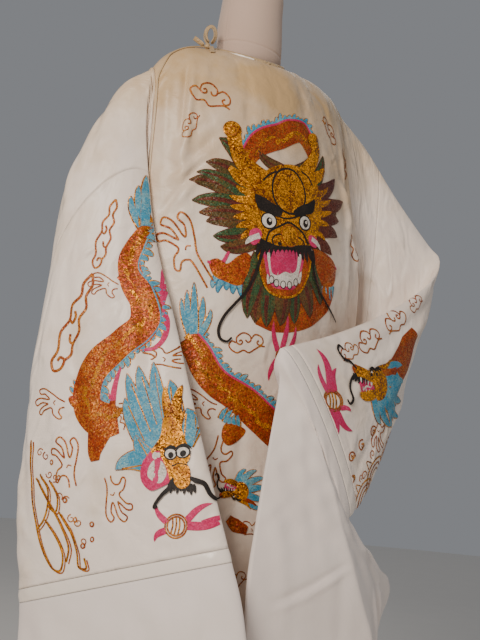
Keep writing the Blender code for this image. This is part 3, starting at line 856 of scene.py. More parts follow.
@dataclass
class Panels(SubAssembly):
    """Front and back body panels, with the creases that hang from the tie and the underarms."""
    columns: dict = field(default_factory=lambda: {Way.FRONT: 150, Way.BACK: 100})
    rows_over: int = 56
    rows_below: int = 196
    flat: Pair = (0.66, 1.42)
    areas: dict = field(default_factory=lambda: {Way.FRONT: 0.86, Way.BACK: 0.84})
    seeds: dict = field(default_factory=lambda: {Way.FRONT: 3, Way.BACK: 4})
    ripple: Pair = (3.6, 85.0)      # height and wave length, in mm
    settle: Pair = (0.035, 0.2)     # shares that stay calm at the side edges and at the shoulders
    # creases: start and end across and by height, height, width and bow
    front_creases: tuple = (
        (-186, 1440, -206, 1262, -6.0, 6, 3),
        (-174, 1436, -194, 1258, 4.5, 7, 3),
        (-222, 1432, -236, 1240, 4.0, 9, 3),
        (-150, 1440, -172, 1330, 2.5, 9, 0),
        (-146, 1270, -248, 1142, -4.5, 5, 4),
        (-136, 1260, -240, 1128, 4.2, 6, 4),
        (-128, 1315, -250, 1212, -2.8, 6, -5),
        (-120, 1305, -246, 1196, 2.4, 6, -5),
        (-255, 1110, -165, 1170, 2.6, 7, -4),
        (-70, 1450, -82, 1300, -2.0, 9, 2),
        (38, 1452, 66, 1300, -2.2, 10, -3),
        (120, 1430, 150, 1290, -2.4, 9, -4),
        (128, 1350, 236, 1226, 3.4, 6, 12),
        (234, 1262, 214, 1010, -6.0, 6, 8),
        (216, 1255, 198, 1020, 4.6, 7, 8),
        (170, 1340, 252, 1200, -4.0, 6, 14),
        (252, 1240, 244, 1040, 4.5, 6, 6),
        (198, 1120, 80, 1040, -2.6, 7, 8),
        (-205, 1040, -170, 700, -5.0, 9, 6),
        (-190, 1030, -158, 690, 3.4, 9, 6),
        (-150, 980, -128, 560, 3.5, 12, -5),
        (-60, 900, -72, 420, -4.0, 12, 5),
        (30, 860, 20, 330, 4.0, 14, -4),
        (110, 930, 122, 470, -4.2, 11, 5),
        (190, 990, 205, 420, 3.8, 12, -6),
    )
    back_creases: tuple = (
        (-150, 1430, -180, 1240, -3.6, 10, 4),
        (152, 1428, 176, 1230, -3.4, 11, -4),
        (-40, 1440, -52, 1290, -2.0, 12, 2),
        (55, 1440, 60, 1300, -2.2, 12, -2),
        (-240, 1160, -130, 1250, 3.0, 10, -6),
        (242, 1150, 138, 1240, 3.0, 10, 6),
        (-130, 1050, -150, 520, -4.5, 15, 6),
        (10, 980, -12, 430, -4.2, 16, -5),
        (130, 1020, 150, 480, -4.6, 15, -6),
        (70, 880, 88, 260, 3.6, 16, 4),
    )

    def cloth(self, way: Way) -> Cloth:
        """Work out one panel with its creases.

        Args:
            way: front or back.

        Returns:
            The cloth; its plan runs from the middle line across and by height down.
        """
        share = np.linspace(0, 1, self.columns[way] + 1)
        drop = np.concatenate([np.linspace(0, 1, self.rows_over, endpoint=False),
                               np.linspace(1, 2, self.rows_below)])
        points = self.body.panel(way, share, drop)
        across = run_length(points, 1)
        middle = self.columns[way] // 2
        plan_a = (across - across[:, middle:middle + 1]) / MM
        plan_b = np.repeat(points[:, middle:middle + 1, 2] / MM, len(share), 1)
        front = way is Way.FRONT
        made = Cloth(f"{way.name.lower()}_panel_cloth", points, plan_a, plan_b, False, front)
        s, d = np.meshgrid(share, drop)
        ease = smooth(np.minimum(s, 1 - s) / self.settle[0]) * smooth(d / self.settle[1])
        made.crease(self.front_creases if front else self.back_creases, ease)
        made.ripple(*self.ripple, self.seeds[way], ease)
        return made

    def build(self, trimmings: list) -> None:
        """Args:
            trimmings: the separate pieces sewn to the front; not used.
        """
        for way, designs, on_it in (
                (Way.FRONT, (ChestDragon(), ChestClouds(), LowerDragon()), trimmings),
                (Way.BACK, (ChestDragon(), LowerDragon()), [])):
            word = way.name.lower()
            cloth = self.cloth(way)
            # The panels' satin has painted shade on the chest mixed into its yellowing.
            item = lay_in_place(cloth.build(self.finishes.body), f"{word}_panel")
            work = Embroidery(f"{word}_embroidery", Chart(cloth, cloth.plan_a, cloth.plan_b),
                              self.finishes, designs).build()


# ---- sleeves
@dataclass
class Sleeve(SubAssembly):
    """One sleeve: plain upper part, embroidered lower part and hem band.

    The drawing plane of its embroidery stands upright through chart_way, and chart_from is the share
    of the lower part's rows above it.
    """
    cut: SleeveCut
    around: int
    upper_rows: int
    lower_rows: int
    lower_creases: tuple
    upper_creases: tuple
    seed: int
    chart_way: Pair
    chart_from: float
    upper_flat: Pair = (0.76, 0.20)
    upper_area: float = 0.10
    lower_flat: Pair = (0.84, 0.72)
    lower_area: float = 0.37
    upper_ripple: Pair = (4.0, 75.0)    # height and wave length, in mm
    lower_ripple: Pair = (4.5, 90.0)
    band_ripple: Pair = (1.6, 24.0)
    upper_settle: Pair = (0.15, 0.12)   # shares of the length that stay calm at each end
    lower_settle: Pair = (0.08, 0.05)
    armhole_step: float = 0.003
    seam_gap: float = 0.002
    band_gap: float = 0.0006
    band_rise_mm: float = 0.8
    band_rows: int = 9

    @property
    def word(self) -> str:
        """Right or left, as in the solids' names."""
        return self.cut.side.name.lower()

    def turn(self) -> Array:
        """Places round the tube, the last one short of a whole turn."""
        return np.linspace(0, 2 * math.pi, self.around, endpoint=False)

    def cloth(self, name: str, places: Array, step_out: bool) -> Cloth:
        """Work out a stretch of the tube.

        Args:
            name: the piece's name.
            places: places along, in rows of the cut.
            step_out: whether it starts at the armhole, which it leaves straight out for a step.

        Returns:
            The cloth; its plan runs round from the top fold and down along the outer layer.
        """
        turn = self.turn()
        points = self.cut.points(self.body, places, turn)
        if step_out:
            out = points[:1] + np.array([self.cut.side.value * self.armhole_step, 0, 0])
            points = np.concatenate([points[:1], out, points[1:]])
        plan_a = run_length(points, 1) / MM
        down = run_length(points[:, self.around // 4:self.around // 4 + 1], 0) / MM
        plan_b = np.repeat(down, len(turn), 1)
        return Cloth(name, points, plan_a, plan_b, True, self.cut.side is Side.LEFT)

    @staticmethod
    def crumple(cloth: Cloth, creases: tuple, ripple: Pair, seed: int, settle: Pair) -> None:
        """Crease and ripple a stretch.

        Args:
            cloth: the stretch.
            creases: its crease rows.
            ripple: height and wave length of its ripples, in mm.
            seed: for their random draws.
            settle: the share of its length that stays calm at each end.
        """
        rows = np.linspace(0, 1, len(cloth.points))[:, None]
        ease = smooth(rows / settle[0]) * smooth((1 - rows) / settle[1])
        cloth.crease(creases, ease)
        cloth.ripple(*ripple, seed, ease)

    def build(self, design: "RightSleeveDragon | LeftSleeveDragon") -> None:
        """Args:
            design: what is embroidered on the lower part.
        """
        upper = self.cloth(f"sleeve_upper_{self.word}_cloth",
                           np.linspace(0, self.cut.seam_at, self.upper_rows), True)
        self.crumple(upper, self.upper_creases, self.upper_ripple, self.seed, self.upper_settle)
        item = lay_in_place(upper.build(self.finishes.satin), f"sleeve_upper_{self.word}")
        places = np.linspace(self.cut.seam_at + self.seam_gap, len(self.cut.rows) - 1, self.lower_rows)
        lower = self.cloth(f"sleeve_lower_{self.word}_cloth", places, False)
        self.crumple(lower, self.lower_creases, self.lower_ripple, self.seed + 1, self.lower_settle)
        item = lay_in_place(lower.build(self.finishes.satin), f"sleeve_lower_{self.word}")
        chart = Chart(lower, lower.base @ np.array([*self.chart_way, 0.0]) / MM,
                      lower.base[..., 2] / MM,
                      slice(int(self.lower_rows * self.chart_from), None), slice(1, self.around // 2))
        work = Embroidery(f"sleeve_embroidery_{self.word}", chart, self.finishes, (design,)).build()
        self.band()

    def band(self) -> bpy.types.Object:
        """Make the hem band: a straight run of the cloth past the last section, a little proud.

        Returns:
            The object, riding on the part.
        """
        ring, run = self.cut.end(self.body, self.turn())
        along = np.linspace(0, 1, self.band_rows)[:, None, None]
        points = ring + run * (self.band_gap + self.cut.band * along)
        down = np.repeat(along[..., 0] * self.cut.band / MM, self.around, 1)
        made = Cloth(f"sleeve_band_{self.word}_cloth", points, run_length(points, 1) / MM, down, True,
                     self.cut.side is Side.LEFT)
        made.raise_by(self.band_rise_mm * np.sin(along[..., 0] * math.pi))
        made.ripple(*self.band_ripple, self.seed + 2, np.sin(along[..., 0] * math.pi))
        return lay_in_place(made.build(self.finishes.band), f"sleeve_band_{self.word}")

    def mouth(self) -> tuple[Array, Array, Array]:
        """Turns round the tube, where a water sleeve starts below the band, and its way there."""
        turn = self.turn()
        ring, run = self.cut.end(self.body, turn)
        return turn, ring + run * (2 * self.band_gap + self.cut.band), run


@dataclass
class WaterSleeve:
    """Thin white cloth that hangs from a sleeve's band; both are cut alike."""
    sleeve: Sleeve
    flat: Pair = (0.90, 0.48)
    area: float = 0.42
    wall: float = 0.0012

    def finish(self, made: Cloth, ripple: Pair, seed: int, ease: Array) -> None:
        """Ripple the cloth, make its mesh and put it in place.

        Args:
            made: the creased cloth.
            ripple: height and wave length of its ripples, in mm.
            seed: for their random draws.
            ease: the share of them kept at each grid point.
        """
        made.ripple(*ripple, seed, ease)
        word = self.sleeve.word
        item = lay_in_place(made.build(self.sleeve.finishes.silk, self.wall), f"water_sleeve_{word}")


@dataclass
class RightWaterSleeve(WaterSleeve):
    """Water sleeve that hangs straight down from the hanging sleeve's band."""
    length: float = 0.46
    rows: int = 92
    spread: float = 0.25
    waves: int = 3
    wave_depth: float = 0.008
    ripple: Pair = (6.0, 80.0)
    settle: float = 0.12
    creases: tuple = (
        (60, 20, 95, 420, -4.5, 10, 6),
        (130, 60, 120, 455, 4.0, 12, -7),
        (210, 5, 228, 440, -5.0, 11, 5),
        (300, 40, 285, 450, 4.0, 12, -5),
        (520, 30, 500, 440, -4.5, 12, 6),
        (650, 20, 668, 440, 4.0, 12, -6),
    )

    def build(self) -> None:
        """Make the piece: its ring runs on from the band, then falls, spreads and waves."""
        turn, start, run = self.sleeve.mouth()
        down = np.linspace(0, 1, self.rows)[:, None, None]
        fall = smooth(down * 4)
        heading = run * (1 - fall) + np.array([0, 0, -1.0]) * fall
        flat = (start - start.mean(0)) * np.array([1, 1, 0])
        spread = flat * self.spread * smooth(down * 1.5)
        wave = self.wave_depth * np.sin(2 * self.waves * turn)[None, :, None] * smooth(down)
        steps = np.diff(down[:, 0, 0], prepend=0)[:, None, None] * self.length
        points = start + np.cumsum(heading * steps, 0) + spread + unit(flat) * wave
        plan_b = np.repeat(down[:, :, 0] * self.length / MM, len(turn), 1)
        made = Cloth("water_sleeve_right_cloth", points, run_length(points, 1) / MM, plan_b,
                     True, False)
        ease = smooth(down[:, :, 0] / self.settle)
        made.crease(self.creases, ease)
        self.finish(made, self.ripple, 21, ease)


@dataclass
class LeftWaterSleeve(WaterSleeve):
    """Water sleeve that falls on the bias from the raised cuff, flat in front with a crisp ridge.

    Each row: the fold nearest the wearer's right x, y, z, the ridge x, y, z, the hanging corner
    x, y, z, and how far the layer behind stands back.
    """
    rows: int = 112
    clears: float = 0.003
    leaves: float = 0.010
    falls: float = 0.022
    ridge_turn: float = 1 / 3
    bulge: float = 0.006
    ripple: Pair = (4.0, 60.0)
    settle: float = 0.15
    table: tuple = (
        (-0.064, -0.236, 0.875, -0.004, -0.272, 0.800, 0.098, -0.254, 0.612, 0.022),
        (-0.078, -0.240, 0.790, 0.020, -0.284, 0.735, 0.172, -0.218, 0.585, 0.020),
        (-0.090, -0.243, 0.715, 0.044, -0.291, 0.668, 0.250, -0.188, 0.560, 0.016),
        (-0.101, -0.246, 0.640, 0.070, -0.295, 0.600, 0.291, -0.168, 0.540, 0.014),
        (-0.112, -0.250, 0.560, 0.103, -0.295, 0.529, 0.298, -0.160, 0.500, 0.012),
        (-0.110, -0.250, 0.460, 0.138, -0.295, 0.450, 0.250, -0.175, 0.440, 0.016),
        (-0.104, -0.250, 0.330, 0.160, -0.290, 0.330, 0.205, -0.185, 0.330, 0.020),
    )
    # in the plan of x and z
    creases: tuple = (
        (-82, 518, 80, 600, -4.2, 4.5, 7),
        (-80, 506, 82, 589, 3.6, 4.5, 7),
        (-100, 640, -40, 700, 1.8, 9, -4),
        (-20, 840, 10, 560, -2.5, 12, 6),
        (-70, 700, -40, 420, 2.6, 12, -5),
        (60, 620, 80, 360, -3.0, 12, 5),
        (180, 560, 190, 350, 5.0, 6, 4),
        (205, 565, 212, 350, -6.0, 6, -4),
        (228, 560, 222, 350, 5.5, 6, 5),
        (150, 600, 262, 520, -3.0, 8, 6),
        (100, 610, 235, 585, 2.8, 8, -5),
    )

    def build(self) -> None:
        """Make the piece: a smooth curve through its rings, creased in the plane it hangs in."""
        turn, start, run = self.sleeve.mouth()
        rings = [start + run * self.clears,
                 start + run * self.leaves - np.array([0, 0, self.falls])]
        halves = turn / math.pi
        marks = [0, self.ridge_turn, 1, 1.5, 2]
        near = np.minimum(halves, np.abs(halves - self.ridge_turn))
        bulge = self.bulge * np.sin(np.clip(near * 6, 0, math.pi / 2)) * (halves < 1)
        for row in self.table:
            fold, ridge, corner = np.reshape(row[:9], (3, 3))
            behind = (fold + corner) / 2 + np.array([0, row[9], 0])
            stops = np.array([fold, ridge, corner, behind, fold])
            ring = np.stack([np.interp(halves, marks, stop) for stop in stops.T], -1)
            ring[:, 1] -= bulge
            rings.append(ring)
        places = np.linspace(0, len(rings) - 1, self.rows)
        points = np.concatenate([start[None], through(rings, places)])
        down = run_length(points[:, :1], 0) / MM
        made = Cloth("water_sleeve_left_cloth", points, run_length(points, 1) / MM,
                     np.repeat(down, len(turn), 1), True, True)
        ease = smooth(np.linspace(0, 1, len(points))[:, None] / self.settle)
        made.raise_by(crease_lift(self.creases, points[..., 0] / MM, points[..., 2] / MM) * ease)
        self.finish(made, self.ripple, 31, ease)


# ---- trimmings
@dataclass
class Trimmings(SubAssembly):
    """Neck binding, piped flap edge and the tie's knot, loop and tails, all of one narrow satin."""
    binding_lean: float = 0.002
    binding_wall: float = 0.0014
    binding_steps: tuple = (-0.002, 0.0015, 0.0045, 0.0075, 0.009)
    binding_flat: Pair = (0.46, 0.012)
    gathers: tuple = (38, 61, 83, 97)   # the gathered stretch's waves in a turn
    gather_depth: float = 0.0002
    gather_at: float = -1.1             # its angle round the neck, and how far it reaches
    gather_reach: float = 0.35
    strip_steps: int = 60
    strip_wall: float = 0.0009
    strip_wave: float = 0.0005
    strip_turned_over: float = 0.0035
    piping_radius: float = 0.0013
    laid_gap: float = 0.0008
    knot_place: tuple = (-0.101, -0.004, 1.4934)
    knot_radius: float = 0.0062
    ribbon_width: float = 0.008
    ribbon_wall: float = 0.0014
    ribbon_curl: float = 0.0022
    tie_axis: tuple = (0.788, -0.616, 0.0)
    tie_depth: tuple = (0.616, 0.788, 0.0)

    def build(self) -> list:
        """Make every trimming.

        Returns:
            The pieces that are sewn to the front panel.
        """
        self.make_binding()
        strips = [self.make_strip("neck_facing_strip", (0.352, 0.446), 0.0026, self.finishes.band),
                  self.make_strip("neck_gathered_strip", (0.462, 0.572), 0.0018,
                                  self.finishes.binding)]
        return [*strips, self.make_piping(), self.make_knot(), *self.make_ribbons()]

    def on_front(self, share: Array, drop: Array, rise: Array) -> Array:
        """Points of the front panel moved out by the rise, one for each share and drop.

        Args:
            share: places across, 0 to 1.
            drop: places down, 0 to 1.
            rise: how far out, in metres.

        Returns:
            One point for each share and drop.
        """
        step = 0.01
        points = []
        for s, d, out in zip(share, drop, np.broadcast_to(rise, share.shape)):
            grid = self.body.panel(Way.FRONT, np.array([s, s + step]), np.array([d, d + step]))
            normal = unit(np.cross(grid[1, 0] - grid[0, 0], grid[0, 1] - grid[0, 0]))
            points.append(grid[0, 0] + normal * out)
        return np.array(points)

    def make_binding(self) -> None:
        """Make the neckline's binding, a low wall just inside the panels' edge, gathered in front."""
        share = np.linspace(0.5 - self.body.neck_share / 2, 0.5 + self.body.neck_share / 2, 72)
        edge = np.concatenate([self.body.top_edge(share, Way.FRONT),
                               self.body.top_edge(share[::-1], Way.BACK)[1:-1]])
        radius = np.linalg.norm(edge[:, :2], axis=1)
        rise = np.array(self.binding_steps)
        lean = np.interp(rise, [0, rise[-1] / 2, rise[-1]], [0, 0, self.binding_lean])
        turn = np.arctan2(edge[:, 1], edge[:, 0])
        chance = np.random.default_rng(5)
        waves = sum(np.sin(k * turn + chance.uniform(0, 6.28)) for k in self.gathers)
        pucker = waves * self.gather_depth
        in_front = np.exp(-((turn - self.gather_at) / self.gather_reach) ** 2)
        pull = (1.3 * self.body.seam * 1.8 + lean[:, None] + pucker * (0.5 + in_front))
        ring = np.repeat(edge[None], len(rise), 0)
        ring[..., :2] *= (1 - pull / radius)[..., None]
        ring[..., 2] += rise[:, None]
        made = Cloth("neck_binding_cloth", ring, run_length(ring, 1) / MM,
                     np.repeat(rise[:, None] / MM, len(edge), 1), True, False)
        item = lay_in_place(made.build(self.finishes.binding, self.binding_wall), "neck_binding")

    def make_strip(self, name: str, shares: Pair, rise: float,
                   finish: bpy.types.Material) -> bpy.types.Object:
        """Make a short strip of facing that has sprung out over the neckline, its ends frayed thin.

        Args:
            name: the piece's name.
            shares: where it starts and ends along the panel's top edge.
            rise: how far it stands off the panel.
            finish: its material.

        Returns:
            The object.
        """
        share = np.linspace(*shares, self.strip_steps)
        t = np.linspace(0, 1, self.strip_steps)
        wave = self.strip_wave * np.sin(23 * t) * np.sin(9 * t + 1)
        thin = np.sqrt(np.sin(math.pi * np.clip(t, 0.03, 0.97)))
        rows = np.array([self.on_front(share, 0 * t + drop, rise * kept + waved * wave)
                         for drop, kept, waved in ((0.0, 1, 1), (0.003, 1, 1.4), (0.0075, 0.5, 1))])
        rows[0, :, 2] += self.strip_turned_over
        rows = through(rows, np.linspace(0, 2, 7))
        middle = rows[3:4]
        points = middle + (rows - middle) * (0.35 + 0.65 * thin)[None, :, None]
        made = Cloth(name, points, run_length(points, 1) / MM, run_length(points, 0) / MM, False, True)
        item = made.build(finish, self.strip_wall)
        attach(item, "root")
        LOG.info("%s: %d points", name, len(item.data.vertices))
        return item

    def make_piping(self) -> bpy.types.Object:
        """Make the flap's piped edge, a cord laid from the tie to the underarm, its bends rounded.

        Returns:
            The object, riding on the part.
        """
        way = np.linspace(0, 2, 160)
        stops = (0, 0.8, 1.1, 2)
        kernel = np.ones(9) / 9
        share, drop = (np.convolve(np.pad(np.interp(way, stops, line), 4, mode="edge"), kernel, "valid")
                       for line in ((0.27, 0.07, 0.014, 0.014),
                                    (0.13, 0.182, 0.42, self.body.underarm_drop)))
        path = self.on_front(share, drop, self.piping_radius + self.laid_gap)
        item = tube("flap_piping_cord", path, self.piping_radius, self.finishes.binding)
        return lay_in_place(item, "flap_piping")

    def make_knot(self) -> bpy.types.Object:
        """Make the knot: a ball of one turn of ribbon, grooved along its wraps.

        Returns:
            The object, riding on the part.
        """
        v, u = np.meshgrid(np.linspace(0.02, math.pi - 0.02, 40),
                           np.linspace(0, 2 * math.pi, 64, endpoint=False), indexing="ij")
        wrap = 0.00042 * np.sin(5 * v + 2 * np.sin(u)) + 0.0003 * np.sin(3 * u - 4 * v)
        radius = self.knot_radius - 0.0005 + wrap
        points = np.stack([np.sin(v) * np.cos(u), np.sin(v) * np.sin(u), np.cos(v)], -1)
        points = points * radius[..., None] + np.array(self.knot_place)
        made = Cloth("tie_knot_cloth", points, u * 6, v * 6, True, True)
        item = made.build(self.finishes.binding, None)
        close_ends(item, *u.shape)
        return lay_in_place(item, "tie_knot")

    def ribbon(self, name: str, path: Array, node: str, most: float) -> bpy.types.Object:
        """Make a ribbon along a path in the bow's plane, twisted towards it, edges a little curled.

        Its width stands across the plane at the knot and turns by the root of a sine from there.

        Args:
            name: the piece's name.
            path: across, up and deep of each place, in metres from the knot.
            node: the solid it stands for.
            most: its greatest turn, in radians.

        Returns:
            The object.
        """
        along, deep = np.array(self.tie_axis), np.array(self.tie_depth)
        middle = np.array(self.knot_place) + path[:, 0:1] * along + path[:, 2:3] * deep
        middle = middle + path[:, 1:2] * np.array([0, 0, 1.0])
        side = np.linspace(-0.5, 0.5, 9)[None, :, None]
        heading = unit(np.gradient(middle, axis=0))[:, None]
        out = unit(np.cross(np.broadcast_to(deep, heading.shape), heading))
        share = np.linspace(0, 1, len(path))[:, None, None]
        turn = most * np.sqrt(np.sin(math.pi * np.minimum(share, 0.5)))
        wide, face = deep * np.cos(turn) + out * np.sin(turn), out * np.cos(turn) - deep * np.sin(turn)
        points = middle[:, None] + wide * side * self.ribbon_width
        points = points + face * (side ** 2 * self.ribbon_curl - 0.0002)
        down = run_length(points, 0) / MM
        made = Cloth(name, points, side[..., 0] * 8 + 0 * down, down, False, False)
        return lay_in_place(made.build(self.finishes.binding, self.ribbon_wall), node)

    def make_ribbons(self) -> list:
        """Make the standing loop, the short tail and the long tail that lies on the panel.

        Returns:
            The three objects.
        """
        start = self.knot_radius + self.body.seam
        turn = np.linspace(-0.42 * math.pi, 1.42 * math.pi, 72)
        loop = np.stack([0.004 + 0.0095 * np.cos(turn), start + 0.0152 + 0.0160 * np.sin(turn),
                         0.0008 * np.sin(3 * turn)], -1)
        made_loop = self.ribbon("tie_loop_cloth", loop, "tie_loop", 1.0)
        t = np.linspace(-0.025, 1, 24)
        short = np.stack([-start - 0.0185 * t, 0.002 + 0.012 * t, 0.0006 * np.sin(4 * t)], -1)
        made_short = self.ribbon("tie_tail_short_cloth", short, "tie_tail_short", -1.15)
        drops = np.linspace(0.085, 0.290, 60)
        middle = np.linspace(0.264, 0.246, 60)
        per_share = (self.body.shoulder_x - self.body.neck_half_width) / 0.5 / (1 - 1 / 3)
        rise = self.ribbon_wall + self.laid_gap
        rise = rise + np.exp(-((drops - 0.13) / 0.05) ** 2) * (2 * self.piping_radius + 0.0006)
        sides = [self.on_front(middle + w * self.ribbon_width / per_share, drops,
                               rise + 0.0015 * w * w) for w in np.linspace(-0.5, 0.5, 7)]
        points = np.stack(sides, 1)
        down = run_length(points, 0) / MM
        made = Cloth("tie_tail_long_cloth", points, run_length(points, 1) / MM, down, False, True)
        tail = lay_in_place(made.build(self.finishes.binding, self.ribbon_wall), "tie_tail_long")
        return [made_loop, made_short, tail]


def close_ends(item: bpy.types.Object, rows: int, columns: int) -> None:
    """Close the first and last ring of a smooth tube with one polygon each, its UV map dropped.

    Args:
        item: the tube.
        rows: its rings.
        columns: points in each ring.
    """
    mesh = item.data
    points = np.empty(len(mesh.vertices) * 3)
    mesh.vertices.foreach_get("co", points)
    faces = [tuple(p.vertices) for p in mesh.polygons]
    first, last = tuple(range(columns)), tuple(range((rows - 1) * columns, rows * columns))
    turned = faces[0][0] != 0
    faces.append(first if turned else first[::-1])
    faces.append(last[::-1] if turned else last)
    materials = list(mesh.materials)
    mesh.clear_geometry()
    mesh.from_pydata(points.reshape(-1, 3).tolist(), [], faces)
    mesh.polygons.foreach_set("use_smooth", np.ones(len(faces), bool))
    if materials and not mesh.materials:
        mesh.materials.append(materials[0])
    mesh.update()


def tube(name: str, path: Array, radius: float, material: bpy.types.Material,
         around: int = 10) -> bpy.types.Object:
    """Make a round cord along a path: circles in the planes across it, closed at both ends.

    Args:
        name: the piece's name.
        path: points along its middle.
        radius: its radius.
        material: its finish.
        around: points of each circle.

    Returns:
        The object.
    """
    heading = unit(np.gradient(path, axis=0))
    side = unit(np.cross(heading, np.array([0.13, 0.21, 0.97])))
    above = np.cross(side, heading)
    turn = np.linspace(0, 2 * math.pi, around, endpoint=False)
    ring = side[:, None] * np.cos(turn)[None, :, None] + above[:, None] * np.sin(turn)[None, :, None]
    points = path[:, None] + ring * radius
    down = np.repeat(run_length(path, 0)[:, None] / MM, around, 1)
    made = Cloth(name, points, turn[None] * radius / MM + 0 * down, down, True, True)
    item = made.build(material, None)
    close_ends(item, len(path), around)
    return item


# ---- dress form
@dataclass
class DressForm:
    """The limbless form under the robe: jersey torso and neck, steel pole, enamelled base.

    The neck is an ellipse at each height, read from its sections with a smooth curve; its cover has
    a seam down each side and a seam line where it meets the shoulders.
    """
    nodes: dict = field(default_factory=lambda: {
        "form_torso": "jersey", "form_pole": "steel", "form_base": "base"})
    # height, half width, half depth, how far back the middle lies
    neck: tuple = (
        (1.4726, 0.0640, 0.0520, 0.002),
        (1.4900, 0.0640, 0.0560, 0.000),
        (1.5200, 0.0640, 0.0590, 0.002),
        (1.5500, 0.0630, 0.0600, 0.004),
        (1.5800, 0.0600, 0.0590, 0.003),
        (1.6100, 0.0580, 0.0570, 0.000),
        (1.6280, 0.0520, 0.0520, -0.002),
        (1.6360, 0.0380, 0.0380, -0.003),
    )
    neck_radius_mm: float = 62.0
    seam_turns: tuple = (-2.98, 0.16)
    seam_rise: float = 0.0012
    seam_width_mm: float = 1.3
    trough_width_mm: float = 4.0
    ring_height: float = 1.507
    ring_slope: Pair = (-0.11, 0.04)
    ring_width_mm: float = 1.6
    sunk: float = 0.0004

    def build(self, finishes: Finishes) -> None:
        """Dress the form's plain solids, whose shapes stay, and cover its neck.

        Args:
            finishes: the materials.
        """
        for node, finish in self.nodes.items():
            for slot in bpy.data.objects[node].material_slots:
                slot.material = getattr(finishes, finish)
            LOG.info("%s: %s", node, finish)
        self.make_neck(finishes.jersey)

    def neck_points(self, places: Array, turn: Array) -> Array:
        """Points of the neck at each place, in rows of its table, and each turn.

        Args:
            places: rows of the neck's table, which may be fractions.
            turn: angles round it.

        Returns:
            A point for each place and turn.
        """
        at = through(self.neck, places)
        x = at[:, 1:2] * np.cos(turn)
        y = at[:, 2:3] * np.sin(turn) + at[:, 3:4]
        return np.stack([x, y, np.broadcast_to(at[:, 0:1], x.shape)], -1)

    @staticmethod
    def shrunk(ring: Array, shares: Array) -> Array:
        """A ring drawn in towards its middle, once for each share."""
        middle = ring.mean(1, keepdims=True)
        return middle + (ring - middle) * shares[:, None, None]

    def make_neck(self, jersey: bpy.types.Material) -> None:
        """Make the neck's cover, with its seams as fine ridges sunk in a shallow trough.

        Args:
            jersey: its material.
        """
        turn = np.linspace(0, 2 * math.pi, 192, endpoint=False)
        points = self.neck_points(np.linspace(0, len(self.neck) - 1, 150), turn)
        outward = unit(points - points.mean(1, keepdims=True))
        lift = np.zeros(points.shape[:2])
        for seam in self.seam_turns:
            apart = np.abs((turn - seam + math.pi) % (2 * math.pi) - math.pi) * self.neck_radius_mm
            lift = lift + self.seam_rise * np.exp(-(apart / self.seam_width_mm) ** 2)
            lift = lift - 0.6 * self.seam_rise * np.exp(-(apart / self.trough_width_mm) ** 2)
        ring = self.ring_height + points[..., :2] @ np.array(self.ring_slope)
        apart = (points[..., 2] - ring) / MM
        lift = lift - 1.1 * self.seam_rise * np.exp(-(apart / self.ring_width_mm) ** 2)
        points = points + outward * (lift - self.sunk)[..., None]
        foot = self.shrunk(points[:1], np.linspace(0.1, 0.98, 6))
        crown = self.shrunk(points[-1:], np.linspace(1, 0.04, 10)[1:])
        points = np.concatenate([foot, points, crown])
        plan = np.zeros(points.shape[:2])
        item = Cloth("form_neck_cover", points, plan, plan, True, True).build(jersey, None)
        close_ends(item, len(points), len(turn))
        lay_in_place(item, "form_neck")


